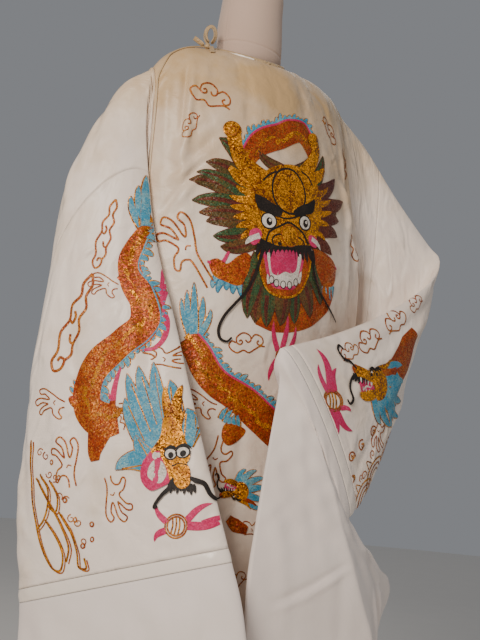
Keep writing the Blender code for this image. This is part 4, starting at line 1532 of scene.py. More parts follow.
# ---- studio
@dataclass
class Studio:
    """Pale floor and backdrop, soft lights and the camera, in metres and degrees."""
    turned: float = 38.0
    distance: float = 2.2
    beside: float = 0.022
    height: float = 0.80
    pitch: float = 5.2
    roll: float = 4.5
    lens: float = 44.62
    floor: str = "#D9D6D0"
    sky: str = "#C9CCD2"
    sky_strength: float = 0.37
    # name, place, what it faces, size, watts, colour
    lamps: tuple = (
        ("key", (-2.9, -1.7, 2.5), (0, 0, 1.0), 1.2, 130.0, "#FFF4E8"),
        ("fill", (1.6, -3.0, 1.4), (0, 0, 0.9), 2.0, 11.0, "#FFF6EC"),
        ("rim", (1.8, 2.2, 2.6), (0, 0, 1.1), 1.6, 9.0, "#FFF8F0"),
    )

    def build(self) -> None:
        """Make the floor, the lights and the camera."""
        self.make_floor()
        self.make_lights()
        self.make_camera()

    def axes(self) -> tuple[Array, Array, Array]:
        """The camera's right, up and forward directions.

        Returns:
            Three unit vectors.
        """
        a, p, r = (math.radians(v) for v in (self.turned, self.pitch, self.roll))
        side = np.array([math.cos(a), -math.sin(a), 0.0])
        level = np.array([math.sin(a), math.cos(a), 0.0])
        ahead = math.cos(p) * level + math.sin(p) * np.array([0, 0, 1.0])
        above = -math.sin(p) * level + math.cos(p) * np.array([0, 0, 1.0])
        return math.cos(r) * side + math.sin(r) * above, -math.sin(r) * side + math.cos(r) * above, ahead

    def make_camera(self) -> None:
        """Place the camera."""
        data = bpy.data.cameras.new("camera")
        data.sensor_fit = "VERTICAL"
        data.sensor_height = 24.0
        data.lens = self.lens
        a = math.radians(self.turned)
        place = (-self.distance * np.array([math.sin(a), math.cos(a), 0.0])
                 + self.beside * np.array([math.cos(a), -math.sin(a), 0.0])
                 + np.array([0, 0, self.height]))
        bpy.context.scene.camera = self.stand("camera", data, self.axes(), place)

    @staticmethod
    def stand(name: str, data: bpy.types.ID, axes: Sequence, place: Sequence) -> bpy.types.Object:
        """Put a camera or lamp at a place, turned by its axes: right, up and forward.

        Args:
            name: the object's name.
            data: the camera or lamp.
            axes: right, up and forward.
            place: where it stands.

        Returns:
            The object.
        """
        item = bpy.data.objects.new(name, data)
        bpy.context.scene.collection.objects.link(item)
        right, up, ahead = axes
        matrix = np.eye(4)
        matrix[:3] = np.stack([right, up, -ahead, place], -1)
        item.matrix_world = Matrix(matrix.tolist())
        return item

    def make_floor(self) -> None:
        """Make a wide pale floor that is stage only."""
        r, t = np.meshgrid(np.linspace(0, 7, 24), np.linspace(0, 2 * math.pi, 64, endpoint=False),
                           indexing="ij")
        points = np.stack([r * np.cos(t), r * np.sin(t), 0 * r], -1)
        material = PlainWeave("floor_paper", self.floor, "#D3D0CA", 0.9, 2.0, 300.0, 0.0).make()
        item = Cloth("floor", points, r / MM, t / MM, True, True).build(material, None)
        item.data.flip_normals()

    def make_lights(self) -> None:
        """Soft key from the camera's left, weak fill from its right, a rim behind and a pale sky."""
        world = bpy.data.worlds.new("sky")
        bpy.context.scene.world = world
        world.use_nodes = True
        fill(world.node_tree.nodes["Background"], {"Color": linear(self.sky),
                                                   "Strength": self.sky_strength})
        for name, place, aim, size, watts, tint in self.lamps:
            data = bpy.data.lights.new(name, "AREA")
            data.size = size
            data.energy = watts
            data.color = linear(tint)[:3]
            ahead = unit(np.array(aim) - np.array(place))
            right = unit(np.cross(ahead, [0, 0, 1.0]))
            self.stand(name, data, (right, np.cross(right, ahead), ahead), place)


# creases of the sleeves: start and end round and down the sleeve, height, width and bow, in mm
RIGHT_CREASES = (
    (40, 30, 62, 560, -4.0, 14, 8),
    (110, 60, 98, 590, 3.4, 16, -7),
    (190, 20, 205, 560, -4.2, 15, 9),
    (270, 40, 262, 585, 3.6, 16, -8),
    (340, 10, 352, 540, -4.0, 14, 6),
    (560, 30, 540, 580, -4.0, 16, 8),
    (660, 40, 672, 580, 3.6, 16, -8),
    (225, 40, 320, 170, -2.6, 7, 5),
    (210, 60, 300, 200, 2.0, 6, 5),
    (250, 230, 340, 330, 2.2, 6, -4),
    (240, 300, 330, 420, -2.4, 7, 5),
    (52, 500, 60, 588, 2.4, 6, 2),
    (118, 520, 128, 588, -2.6, 6, -3),
    (180, 530, 172, 588, 2.2, 5, 2),
    (250, 490, 268, 580, -2.8, 7, 4),
    (310, 450, 300, 560, 2.4, 7, -4),
)
RIGHT_UPPER_CREASES = (
    (60, 60, 200, 200, 2.6, 7, 5),
    (90, 40, 230, 170, -2.8, 7, 5),
    (250, 120, 330, 260, 2.4, 7, -4),
    (70, 20, 110, 330, -4.0, 13, 10),
    (180, 10, 190, 330, 3.5, 14, -8),
    (300, 30, 270, 340, -4.5, 13, 9),
    (370, 20, 345, 300, 3.0, 12, -6),
)
LEFT_CREASES = (
    (30, 40, 48, 520, -3.0, 12, 6),
    (95, 120, 85, 600, 3.0, 14, -6),
    (170, 60, 190, 560, -3.4, 14, 8),
    (260, 90, 250, 600, 3.0, 14, -8),
    (340, 60, 330, 560, -3.4, 13, 6),
    (540, 60, 560, 560, -3.0, 14, 6),
    (25, 180, 100, 15, -3.6, 6, 6),
    (60, 175, 190, 20, 3.0, 7, -6),
    (140, 140, 280, 15, -3.4, 6, 5),
    (155, 150, 300, 28, 3.0, 6, 5),
    (230, 125, 330, 60, -2.4, 6, 4),
    (70, 500, 150, 600, 2.6, 8, 5),
    (200, 480, 250, 600, -2.6, 8, -6),
)
LEFT_UPPER_CREASES = (
    (15, 90, 290, 250, -4.5, 7, 8),
    (30, 60, 300, 225, 4.0, 8, 8),
    (60, 150, 250, 262, 3.0, 6, -4),
    (20, 30, 200, 120, -3.0, 8, 5),
    (520, 40, 560, 220, -3.0, 12, 5),
)


# ---- embroidery
@dataclass
class Chart:
    """Carries a drawing from a cloth's flat plan onto the cloth.

    a and b are the plan's places in mm at each grid point, rows and columns the window that is
    drawn on.  A drawn point starts from the nearest of the grid's points a few apart, is found by
    Newton's steps on the bilinear patches of the grid, and is lifted along the normal there.
    """
    cloth: Cloth
    a: Array
    b: Array
    rows: slice = field(default_factory=lambda: slice(None))
    columns: slice = field(default_factory=lambda: slice(None))
    apart: int = 5
    batch: int = 4000
    rounds: int = 9
    stride: float = 6.0

    def find(self, at: Array) -> tuple[Array, Array, Array]:
        """Find drawn points on the grid.

        Args:
            at: points of the drawing, in mm.

        Returns:
            Row, column and how far off the found place is, in mm.
        """
        grid = np.stack([self.a, self.b], -1)[self.rows, self.columns]
        near = grid[::self.apart, ::self.apart]
        near_a, near_b = near.reshape(-1, 2).T
        start = np.concatenate([
            np.argmin((part[:, :1] - near_a) ** 2 + (part[:, 1:] - near_b) ** 2, 1)
            for part in np.array_split(at, max(1, len(at) // self.batch))])
        row, column = (v.astype(float) * self.apart for v in divmod(start, near.shape[1]))
        for _ in range(self.rounds):
            here, by_row, by_column = self.read(grid, row, column)
            off = at - here
            area = by_row[:, 0] * by_column[:, 1] - by_row[:, 1] * by_column[:, 0]
            area = np.where(np.abs(area) < 1e-6, 1e-6, area)
            row += np.clip((off[:, 0] * by_column[:, 1] - off[:, 1] * by_column[:, 0]) / area,
                           -self.stride, self.stride)
            column += np.clip((by_row[:, 0] * off[:, 1] - by_row[:, 1] * off[:, 0]) / area,
                              -self.stride, self.stride)
            row = np.clip(row, 0, grid.shape[0] - 1.001)
            column = np.clip(column, 0, grid.shape[1] - 1.001)
        return row, column, np.linalg.norm(at - self.read(grid, row, column)[0], axis=1)

    @staticmethod
    def read(grid: Array, row: Array, column: Array) -> tuple[Array, Array, Array]:
        """Bilinear reading of a grid at each place, with its slopes by row and by column.

        Args:
            grid: the plan.
            row: rows, which may be fractions.
            column: columns, likewise.

        Returns:
            The value and the two slopes.
        """
        i, j = np.floor(row).astype(int), np.floor(column).astype(int)
        r, c = (row - i)[:, None], (column - j)[:, None]
        p00, p01, p10, p11 = grid[i, j], grid[i, j + 1], grid[i + 1, j], grid[i + 1, j + 1]
        value = p00 * (1 - r) * (1 - c) + p01 * (1 - r) * c + p10 * r * (1 - c) + p11 * r * c
        return value, (p10 - p00) * (1 - c) + (p11 - p01) * c, (p01 - p00) * (1 - r) + (p11 - p10) * r

    def carry(self, at: Array, lift: Array) -> tuple[Array, Array, Array]:
        """Carry drawn points onto the cloth.

        Args:
            at: points of the drawing, in mm.
            lift: height over the cloth, in mm.

        Returns:
            Points in metres, the cloth's normals there, and how far off each is in mm.
        """
        row, column, miss = self.find(at)
        points = self.read(self.cloth.points[self.rows, self.columns], row, column)[0]
        normal = unit(self.read(self.cloth.normals()[self.rows, self.columns], row, column)[0])
        return points + normal * lift[:, None] * MM, normal, miss


@dataclass(frozen=True)
class Place:
    """Where a motif is drawn: origin in mm, turn in degrees, size, mirroring and sideways stretch."""
    x: float = 0.0
    y: float = 0.0
    turn: float = 0.0
    size: float = 1.0
    flip: bool = False
    wide: float = 1.0

    def put(self, points: Array) -> Array:
        """Mirror, scale, turn and move points.

        Args:
            points: the points, in mm.

        Returns:
            The moved points.
        """
        a = math.radians(self.turn)
        p = points * self.size * np.array([-self.wide if self.flip else self.wide, 1.0])
        turned = np.stack([p[..., 0] * math.cos(a) - p[..., 1] * math.sin(a),
                           p[..., 0] * math.sin(a) + p[..., 1] * math.cos(a)], -1)
        return turned + np.array([self.x, self.y])


@dataclass
class Needle:
    """Draws on a flat plan in mm: strokes, leaves and patches, each a grid of points.

    base is how high the lowest layer lies, layer the height of each one above it; points stand step
    apart along a line, and a line has more of them across it for each band of its width.
    """
    work: list = field(default_factory=list)
    place: Place = Place()
    base: float = 0.55
    layer: float = 0.25
    step: float = 3.2
    band: float = 9.0

    def at(self, x: float, y: float, turn: float = 0.0, size: float = 1.0, flip: bool = False,
           wide: float = 1.0) -> "Needle":
        """The same needle, drawing at another place."""
        return Needle(self.work, Place(x, y, turn, size, flip, wide))

    def lay(self, points: Array, lift: Array, thread: Thread, level: float, closed: bool) -> None:
        """Keep a grid of points; closed joins its last column to its first."""
        flat = self.place.put(points.reshape(-1, 2))
        self.work.append((flat, lift.ravel() + self.base + self.layer * level,
                          grid_faces(*points.shape[:2], closed), thread))

    def stroke(self, spine: Sequence, width: float | Sequence, thread: Thread, level: float = 1,
               lift: float = 0.3) -> None:
        """Padded band along a smooth curve: its lift is the root of 1 - (across / half width)^2.

        Args:
            spine: points along its middle.
            width: its width, or widths read evenly along it.
            thread: its finish.
            level: how many layers it lies above the cloth.
            lift: its padding, in mm.
        """
        spine = np.asarray(spine, float)
        length = float(np.linalg.norm(np.diff(spine, axis=0), axis=1).sum()) * self.place.size
        count = max(5, int(length / self.step) + 2)
        share = np.linspace(0, 1, count)
        path = through(spine, share * (len(spine) - 1))
        wide = np.atleast_1d(np.asarray(width, float))
        wide = np.interp(share, np.linspace(0, 1, len(wide)), wide)
        heading = unit(np.gradient(path, axis=0))
        side = np.stack([-heading[:, 1], heading[:, 0]], -1)
        across = np.linspace(-0.5, 0.5, 3 + 2 * int(wide.max() * self.place.size / self.band))
        points = path[:, None] + side[:, None] * across[None, :, None] * wide[:, None, None]
        bump = lift * np.sqrt(np.clip(1 - (2 * across) ** 2, 0, 1))[None] + 0 * wide[:, None]
        self.lay(points, bump, thread, level, False)

    def leaf(self, base: Pair, tip: Pair, width: float, bend: float, thread: Thread,
             level: float = 1, edge: Thread | None = None) -> None:
        """Pointed leaf: a stroke on a bowed spine, as wide as a slender drop.

        Its width grows as the 0.3rd power of the way run and dies as the 0.62nd of the way left.

        Args:
            base: where it starts.
            tip: its point.
            width: its greatest width.
            bend: how far its middle bows to the left of its way.
            thread: its finish.
            level: how many layers it lies above the cloth.
            edge: thread of an outline, if it has one.
        """
        base, tip = np.asarray(base, float), np.asarray(tip, float)
        way = tip - base
        side = np.array([-way[1], way[0]]) / max(np.linalg.norm(way), 1e-6)
        t = np.linspace(0, 1, 7)[:, None]
        spine = base + way * t + side * bend * 4 * t ** 1.4 * (1 - t)
        share = np.linspace(0, 1, 11)
        wide = width * (share + 0.18) ** 0.3 * (1 - share) ** 0.62 / 0.70
        if edge is not None:
            self.stroke(spine, wide + 5.0 * (1 - share * 0.5), edge, level)
            level += 0.8
        self.stroke(spine, wide, thread, level)

    def patch(self, outline: Sequence, thread: Thread, level: float = 1, lift: float = 0.35,
              edge: Thread | None = None, edge_width: float = 2.2) -> None:
        """Filled shape: rings from its middle to a smooth closed outline, domed by a root curve.

        Args:
            outline: points round it.
            thread: its finish.
            level: how many layers it lies above the cloth.
            lift: its padding, in mm.
            edge: thread of an outline, if it has one.
            edge_width: width of that outline.
        """
        outline = np.asarray(outline, float)
        round_trip = np.concatenate([outline[-1:], outline, outline[:2]])
        girth = float(np.linalg.norm(np.diff(round_trip, axis=0), axis=1).sum()) * self.place.size
        count = max(12, int(girth / self.step))
        rim = through(round_trip, 1 + np.linspace(0, len(outline), count, endpoint=False))
        middle = rim.mean(0)
        radius = float(np.linalg.norm(rim - middle, axis=1).max()) * self.place.size
        rings = np.linspace(0.02, 1, max(3, int(2 * radius / self.band) + 2))
        points = middle + (rim - middle)[None] * rings[:, None, None]
        dome = lift * np.sqrt(np.clip(1 - rings ** 4, 0, 1))[:, None] + np.zeros((1, count))
        self.lay(points, dome, thread, level, True)
        if edge is not None:
            self.stroke(np.concatenate([rim, rim[:2]]), edge_width, edge, level + 1, 0.4)

    def disc(self, x: float, y: float, wide: float, high: float, thread: Thread, level: float = 1,
             edge: Thread | None = None, edge_width: float = 2.2) -> None:
        """Filled ellipse of given half sizes."""
        turn = np.linspace(0, 2 * math.pi, 14, endpoint=False)
        rim = np.stack([x + wide * np.cos(turn), y + high * np.sin(turn)], -1)
        self.patch(rim, thread, level, edge=edge, edge_width=edge_width)

    def curl(self, x: float, y: float, radius: float, start: float, turns: float, width: float,
             thread: Thread, level: float = 1) -> None:
        """Spiral: its radius falls evenly to a fifth over its turns.

        Args:
            x: the centre's place across.
            y: its place up.
            radius: at the outer end.
            start: the outer end's angle.
            turns: in full turns.
            width: of the line.
            thread: its thread.
            level: its layer.
        """
        t = np.linspace(0, 1, max(8, int(abs(turns) * 14)))
        angle = math.radians(start) + t * turns * 2 * math.pi
        r = radius * (1 - 0.8 * t)
        self.stroke(np.stack([x + r * np.cos(angle), y + r * np.sin(angle)], -1),
                    (width, width, width * 0.7), thread, level)

    def fins(self, spine: Sequence, length: float, spacing: float, lean: float, thread: Thread,
             level: float = 1, side: float = 1.0, edge: Thread | None = None) -> None:
        """Row of small pointed leaves that stand on a curve, leaning along it.

        Args:
            spine: the curve they stand on.
            length: their length.
            spacing: distance from one to the next.
            lean: how far they lean along the curve, 0 to 1.
            thread: their finish.
            level: how many layers they lie above the cloth.
            side: 1 for the left of the curve's way, -1 for the right.
            edge: thread of their outlines, if they have one.
        """
        spine = np.asarray(spine, float)
        fine = through(spine, np.linspace(0, len(spine) - 1, 80))
        run = run_length(fine, 0)
        count = max(2, int(run[-1] / spacing))
        for k in range(count + 1):
            place = run[-1] * k / count
            back, foot, ahead = (np.array([np.interp(at, run, fine[:, 0]),
                                           np.interp(at, run, fine[:, 1])])
                                 for at in (place - 2, place, place + 2))
            heading = (ahead - back) / max(np.linalg.norm(ahead - back), 1e-6)
            out = np.array([-heading[1], heading[0]]) * side
            size = length * (0.75 + 0.25 * math.sin(1.9 * k) + 0.12 * math.sin(5.3 * k))
            way = out * (1 - lean * 0.5) + heading * lean
            self.leaf(foot - out * 2, foot + way * size, spacing * 0.95, size * 0.12 * side,
                      thread, level, edge)


@dataclass
class Embroidery:
    """A cloth's embroidery: designs drawn one over the other, then carried onto it as one mesh."""
    name: str
    chart: Chart
    finishes: Finishes
    designs: Sequence
    slack_mm: float = 1.2

    def build(self) -> bpy.types.Object:
        """Draw the designs and make the mesh; faces that fall off the chart are left out.

        Returns:
            The object, riding on the part.
        """
        needle = Needle()
        for design in self.designs:
            design.draw(needle)
        flats, lifts, quads, threads = zip(*needle.work)
        starts = np.cumsum([0, *(len(f) for f in flats[:-1])])
        faces = np.concatenate([q + s for q, s in zip(quads, starts)])
        order = list(Thread)
        slots = np.repeat([order.index(t) for t in threads], [len(q) for q in quads])
        points, normal, miss = self.chart.carry(np.concatenate(flats), np.concatenate(lifts))
        keep = (miss[faces] < self.slack_mm).all(1)
        faces, slots = faces[keep], slots[keep]
        a, b, c, d = (points[faces[:, k]] for k in range(4))
        facing = np.einsum("ij,ij->i", np.cross(c - a, d - b), normal[faces[:, 0]])
        faces = np.where(facing[:, None] < 0, faces[:, ::-1], faces)
        used, faces = np.unique(faces, return_inverse=True)
        item = mesh_object(self.name, points[used], faces.reshape(-1, 4),
                           [self.finishes.threads[t] for t in order], slots)
        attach(item, "root")
        LOG.info("%s: %d faces", self.name, len(slots))
        return item


# ---- motifs
TRUNK_STEPS = 60    # places along a trunk
SCALES_APART = 9.5  # from one row of scales to the next, in mm


def draw_body(needle: Needle, spine: Sequence, widths: Sequence, fin: float, pink: bool = True) -> None:
    """Dragon's trunk: a padded band, couched scales, a coloured line and a row of blue fins.

    Each row of scales is a line of half sines across the trunk; every other row has a gold fleck.

    Args:
        needle: draws it.
        spine: its middle line, with the fins on its left.
        widths: its widths, read evenly along it.
        fin: length of the fins.
        pink: whether the line inside the fins is pink, with a blue one outside it, or blue alone.
    """
    fine = through(spine, np.linspace(0, len(spine) - 1, TRUNK_STEPS))
    heading = unit(np.gradient(fine, axis=0))
    out = np.stack([-heading[:, 1], heading[:, 0]], -1)
    wide = np.interp(np.linspace(0, 1, TRUNK_STEPS), np.linspace(0, 1, len(widths)), widths)
    edge = fine + out * (wide / 2)[:, None]
    needle.fins(edge[::6], fin, 10.5, 0.45, BLUE, 0, 1.0, GOLD)
    needle.stroke(fine[::5], wide[::5], ORANGE, 2, 0.5)
    needle.stroke((edge - out)[::6], 3.4 if pink else 2.2, PINK if pink else BLUE, 3)
    if pink:
        needle.stroke((edge + out * 2.4)[::6], 3.2, BLUE, 2)
    run = run_length(fine, 0)
    chance = np.random.default_rng(len(spine) * 7 + int(wide[0]))
    for k, place in enumerate(np.arange(9.0, run[-1] - 6, SCALES_APART)):
        i = min(int(np.searchsorted(run, place)), TRUNK_STEPS - 1)
        half = wide[i] / 2 - 3.5
        low, high = fine[i] - out[i] * half, fine[i] + out[i] * half * 0.75
        lobes = 2 if half < 14 else 3
        t = np.linspace(0, 1, lobes * 4 + 1)[:, None]
        arc = low + (high - low) * t + heading[i] * 6.0 * np.abs(np.sin(math.pi * lobes * t))
        needle.stroke(arc, 1.8, RUST, 4, 0.25)
        if k % 2 == 0:
            spot = low + (high - low) * chance.uniform(0.25, 0.75)
            reach = heading[i] * chance.uniform(9, 17)
            needle.leaf(spot - reach, spot + reach, chance.uniform(9, 15), 3, GOLD, 3)


def draw_plume(needle: Needle, rows: Sequence) -> None:
    """Tail plume of blue leaves outlined in gold; each row: base, tip, width and bend."""
    for k, (base, tip, width, bend) in enumerate(rows):
        needle.leaf(base, tip, width, bend, BLUE, 1 + 1.1 * (k % 3), GOLD)


def draw_claw(needle: Needle, leg: float) -> None:
    """Outlined foot in one line: up one side of the leg, round four bent toes, down the other.

    The wrist is at 0 and the toes point up.

    Args:
        needle: what it is stitched with.
        leg: the leg's length, in mm.
    """
    needle.stroke(((-6, -leg), (-5, -15), (-9, -7), (-17, -6), (-25, -14), (-29, -8), (-22, 5), (-13, 9),
        (-11, 15), (-19, 30), (-28, 35), (-26, 43), (-16, 40), (-6, 24), (-4, 24), (-5, 40), (-13, 52),
        (-5, 58), (3, 46), (4, 24), (7, 21), (13, 34), (11, 46), (19, 50), (23, 35), (15, 12), (10, 2),
        (6, -12), (6, -leg)), 2.8, RUST, 1, 0.2)
    needle.stroke(((-4, 5), (0, 9), (5, 6)), 2.0, RUST, 1, 0.2)


def draw_round_cloud(needle: Needle) -> None:
    """Outlined cloud of curled lobes, 90 mm long.

    Args:
        needle: what it is stitched with.
    """
    for line in (
            ((-42, -8), (-47, 3), (-39, 12), (-29, 8), (-26, 19), (-10, 27), (5, 20), (7, 9), (-1, 5),
             (-6, 11)),
            ((7, 11), (19, 20), (34, 13), (37, 1), (28, -5), (21, 1), (26, 6)),
            ((-42, -8), (-30, -15), (-14, -11), (-2, -18), (14, -12), (28, -7), (40, -9)),
            ((-29, 8), (-21, 2), (-14, 6), (-17, 12), (-22, 9))):
        needle.stroke(line, 3.3, RUST, 1, 0.4)


def draw_trailing_cloud(needle: Needle) -> None:
    """Outlined cloud with a long tail, 120 mm high, its curl at the foot.

    Args:
        needle: what it is stitched with.
    """
    for line in (
            ((1, 62), (-5, 48), (-3, 34), (-10, 20), (-8, 4), (-14, -14), (-10, -34), (-13, -48),
             (-7, -58), (1, -53), (2, -43), (-4, -41), (-6, -46)),
            ((1, 62), (6, 49), (3, 35), (8, 22), (4, 8), (9, -6), (5, -22), (7, -34), (2, -43)),
            ((-8, 4), (-3, 1), (-1, 9), (-4, 15)),
            ((5, -22), (0, -20), (-2, -12))):
        needle.stroke(line, 3.2, RUST, 1, 0.4)


def draw_pearl(needle: Needle, radius: float, flames: Sequence) -> None:
    """Flaming pearl: an outlined ring with bars, and pink flames.

    Args:
        needle: draws it, with the pearl's middle at 0.
        radius: its radius.
        flames: base x and y, tip x and y, width and bend of each flame.
    """
    for bx, by, tx, ty, width, bend in flames:
        needle.leaf((bx, by), (tx, ty), width, bend, PINK, 1)
    turn = np.linspace(0, 2 * math.pi, 14)
    for r in (radius, radius * 0.8):
        needle.stroke(np.stack([r * np.cos(turn), r * np.sin(turn)], -1), 2.8, RUST, 1, 0.4)
    for x in (-0.4, -0.08, 0.24):
        reach = 0.72 * math.sqrt(1 - x * x) * radius
        needle.stroke(((x * radius, -reach), (x * radius + 1.5, 0), (x * radius, reach)), 2.6, GOLD, 1, 0.3)


def draw_side_head(needle: Needle) -> None:
    """Dragon's head from the side, 100 mm long, its snout to the left and its crown to the right.

    From the back: mane leaves, the gold skull, jaws round a pink mouth, white eyes with black
    pupils, brows, a curled nose, a scalloped moustache and two whiskers.

    Args:
        needle: what it is stitched with.
    """
    for base, tip, width, bend in (
            ((20, 20), (78, 52), 20, 7),
            ((24, 10), (92, 26), 21, 5),
            ((24, -2), (98, -4), 21, -4),
            ((20, -14), (88, -32), 20, -6),
            ((12, -24), (62, -54), 19, -7),
            ((2, -26), (28, -58), 17, -6)):
        needle.leaf(base, tip, width, bend, BLUE, 1, GOLD)
    needle.leaf((18, 24), (60, 44), 13, -5, ORANGE, 3)
    needle.leaf((8, 26), (40, 52), 11, -6, GOLD, 3)
    needle.patch(((-22, 12), (-8, 22), (12, 28), (30, 20), (36, 2), (28, -16), (12, -24), (0, -14),
        (-10, 0)), GOLD, 3, 1.0)
    needle.patch(((-50, 8), (-44, 18), (-30, 18), (-14, 14), (-6, 6), (-16, 0), (-34, -1), (-46, 0)), GOLD,
        4, 1.0)
    needle.patch(((-52, 6), (-54, 13), (-48, 19), (-40, 17), (-39, 8), (-45, 3)), ORANGE, 5)
    needle.patch(((-38, -24), (-26, -18), (-12, -12), (2, -8), (8, -18), (-4, -28), (-20, -33), (-34, -31)),
        GOLD, 4, 0.9)
    needle.patch(((-36, -20), (-40, -2), (-24, 0), (-8, -2), (4, -6), (0, -14), (-14, -18), (-26, -24)),
        PINK, 5)
    needle.stroke(((-30, -18), (-22, -10), (-10, -9)), (4, 5, 3), WHITE, 6)
    for x in (-36, -27, -18, -9):
        needle.leaf((x, 0), (x + 1, -8), 5, 0, WHITE, 6)
        needle.leaf((x + 6, -19), (x + 4, -12), 4, 0, WHITE, 6)
    for x, y in ((-8, 13), (6, 17)):
        needle.disc(x, y, 7.2, 6.4, WHITE, 5, BLACK, 1.8)
        needle.disc(x - 2, y - 1, 2.8, 3.2, BLACK, 7)
        needle.stroke(((x - 9, y + 5), (x - 1, y + 10), (x + 9, y + 8)), (2, 5, 2), BLACK, 7)
    for k in range(6):
        x = -50 + 5.4 * k
        needle.leaf((x, 3), (x - 6 + 1.5 * k, -11 + abs(k - 2)), 6.5, 2, BLACK, 6)
    needle.stroke(((-46, 4), (-56, -6), (-60, -22), (-54, -38), (-60, -48), (-66, -42)), (4, 4.5, 4, 3),
        BLACK, 7)
    needle.stroke(((-44, 12), (-58, 20), (-72, 20), (-84, 30), (-80, 40), (-72, 36)), (3, 4.5, 4, 3), BLACK,
        7)


@dataclass
class ChestDragon:
    """Dragon's head that faces forward, with its mane, horns, arched back and forelimbs.

    Tables hold places in mm on the panel's plan: leaves as base, tip, width, bend and thread.
    """
    mane: tuple = (
        ((-63, 1221), (-134, 1299), 38, -13, LEAF),
        ((-64, 1211), (-156, 1255), 38, -12, GREEN),
        ((-59, 1197), (-172, 1236), 30, -8, LEAF),
        ((-59, 1190), (-185, 1220), 38, -12, GREEN),
        ((-59, 1177), (-180, 1184), 36, -9, LEAF),
        ((-59, 1168), (-167, 1164), 30, -5, GREEN),
        ((-58, 1161), (-154, 1150), 36, -4, GREEN),
        ((-59, 1146), (-141, 1125), 34, 5, LEAF),
        ((-58, 1132), (-128, 1108), 30, 8, GREEN),
        ((69, 1246), (104, 1311), 28, -7, LEAF),
        ((69, 1231), (149, 1280), 32, -9, MAROON),
        ((69, 1213), (182, 1243), 32, -7, MAROON),
        ((68, 1198), (148, 1213), 26, -4, GREEN),
        ((67, 1185), (157, 1200), 32, 5, MAROON),
        ((66, 1168), (151, 1169), 30, 7, MAROON),
        ((57, 1147), (129, 1132), 28, 8, MAROON),
    )
    crown: tuple = (
        ((-2, 1262), (-62, 1292), 21, 8, GREEN),
        ((19, 1265), (63, 1302), 18, -6, GREEN),
    )
    arch: tuple = ((-81, 1269), (-66, 1294), (-44, 1311), (-16, 1324), (30, 1345), (58, 1325), (80, 1296))
    cheeks: tuple = (
        ((-74, 1208), (-102, 1220), 13, 3), ((-75, 1196), (-115, 1200), 14, 3),
        ((-77, 1183), (-113, 1182), 14, 2), ((-79, 1169), (-107, 1162), 14, 0),
        ((-77, 1154), (-101, 1145), 13, -2), ((-70, 1144), (-91, 1125), 13, -3),
        ((84, 1235), (119, 1258), 13, -3), ((87, 1219), (128, 1235), 13, -3),
        ((85, 1199), (131, 1213), 13, -1), ((83, 1184), (118, 1184), 13, 2),
        ((77, 1166), (104, 1154), 12, 3),
    )
    face: tuple = ((-71, 1228), (-51, 1250), (-20, 1269), (18, 1278), (56, 1271), (85, 1250), (96, 1219),
        (88, 1177), (72, 1145), (37, 1125), (-29, 1118), (-60, 1124), (-81, 1147), (-87, 1177), (-84, 1206))
    jaw: tuple = ((-55, 1117), (-56, 1090), (-49, 1065), (-33, 1043), (-7, 1035), (17, 1038), (41, 1051),
        (55, 1078), (62, 1109), (58, 1131), (12, 1130), (-24, 1124))
    mouth: tuple = ((-45, 1110), (-44, 1088), (-36, 1065), (-22, 1050), (0, 1049), (21, 1052), (35, 1067),
        (41, 1090), (46, 1115), (39, 1125), (-2, 1124))
    palate: tuple = ((-32, 1113), (-33, 1094), (-28, 1076), (-15, 1072), (0, 1080), (14, 1079), (26, 1087),
        (30, 1107), (27, 1123), (-4, 1121))
    left_brow: tuple = ((-68, 1207), (-51, 1206), (-31, 1199), (-10, 1190), (-17, 1176), (-38, 1180),
        (-61, 1184))
    right_brow: tuple = ((71, 1224), (54, 1214), (33, 1205), (16, 1191), (23, 1183), (46, 1191), (67, 1200))
    nose_line: tuple = ((-44, 1124), (-36, 1146), (-16, 1159), (4, 1169), (23, 1165), (43, 1155),
        (55, 1138))
    left_whisker: tuple = ((-49, 1118), (-56, 1090), (-64, 1064), (-78, 1035), (-97, 1012), (-113, 991),
        (-122, 968), (-119, 951), (-106, 946), (-98, 954))
    right_whisker: tuple = ((58, 1132), (65, 1107), (78, 1075), (101, 1050), (126, 1028), (151, 1009))
    beard: tuple = (
        ((-48, 1102), (-71, 990), 40, -8, LEAF),
        ((-38, 1067), (-55, 983), 38, -6, GREEN),
        ((-25, 1051), (-32, 979), 36, -4, LEAF),
        ((-2, 1051), (-2, 985), 38, 2, GREEN),
        ((21, 1058), (31, 992), 36, 3, LEAF),
        ((39, 1075), (69, 1008), 38, 6, GREEN),
        ((54, 1107), (99, 1034), 36, 8, LEAF),
    )
    left_limb: tuple = ((-146, 1079), (-132, 1087), (-114, 1080), (-93, 1097), (-75, 1102), (-64, 1081),
        (-73, 1058), (-92, 1044), (-117, 1049), (-137, 1058))
    right_limb: tuple = ((69, 1131), (91, 1133), (118, 1128), (140, 1117), (148, 1094), (131, 1072),
        (102, 1072), (80, 1083), (70, 1109))
    trunk: tuple = ((-54, 991), (-18, 990), (24, 997), (63, 1014), (98, 1043), (114, 1074))
    trunk_widths: tuple = (20, 36, 42, 50, 60, 58)

    def draw(self, needle: Needle) -> None:
        """Draw it from the lowest layer up.

        Args:
            needle: what it is stitched with.
        """
        draw_body(needle, self.arch, (30, 40, 46, 46, 44, 36, 28), 16.0)
        needle.stroke(self.trunk, self.trunk_widths, ORANGE, 0, 0.4)
        for lowest, tufts in ((1, self.mane), (2, self.crown + self.beard)):
            for k, tuft in enumerate(tufts):
                self.draw_tuft(needle, *tuft, lowest + 0.9 * (k % 3))
        self.limbs(needle)
        self.horns(needle)
        for base, tip, width, bend in self.cheeks:
            needle.leaf(base, tip, width, bend, GOLD, 6)
        needle.patch(self.face, GOLD, 7, 0.3)
        needle.patch(self.jaw, ORANGE, 7.5, 0.2, GOLD, 4.0)
        needle.patch(self.mouth, PINK, 8.5, 0.2)
        self.fill_mouth(needle)
        self.features(needle)

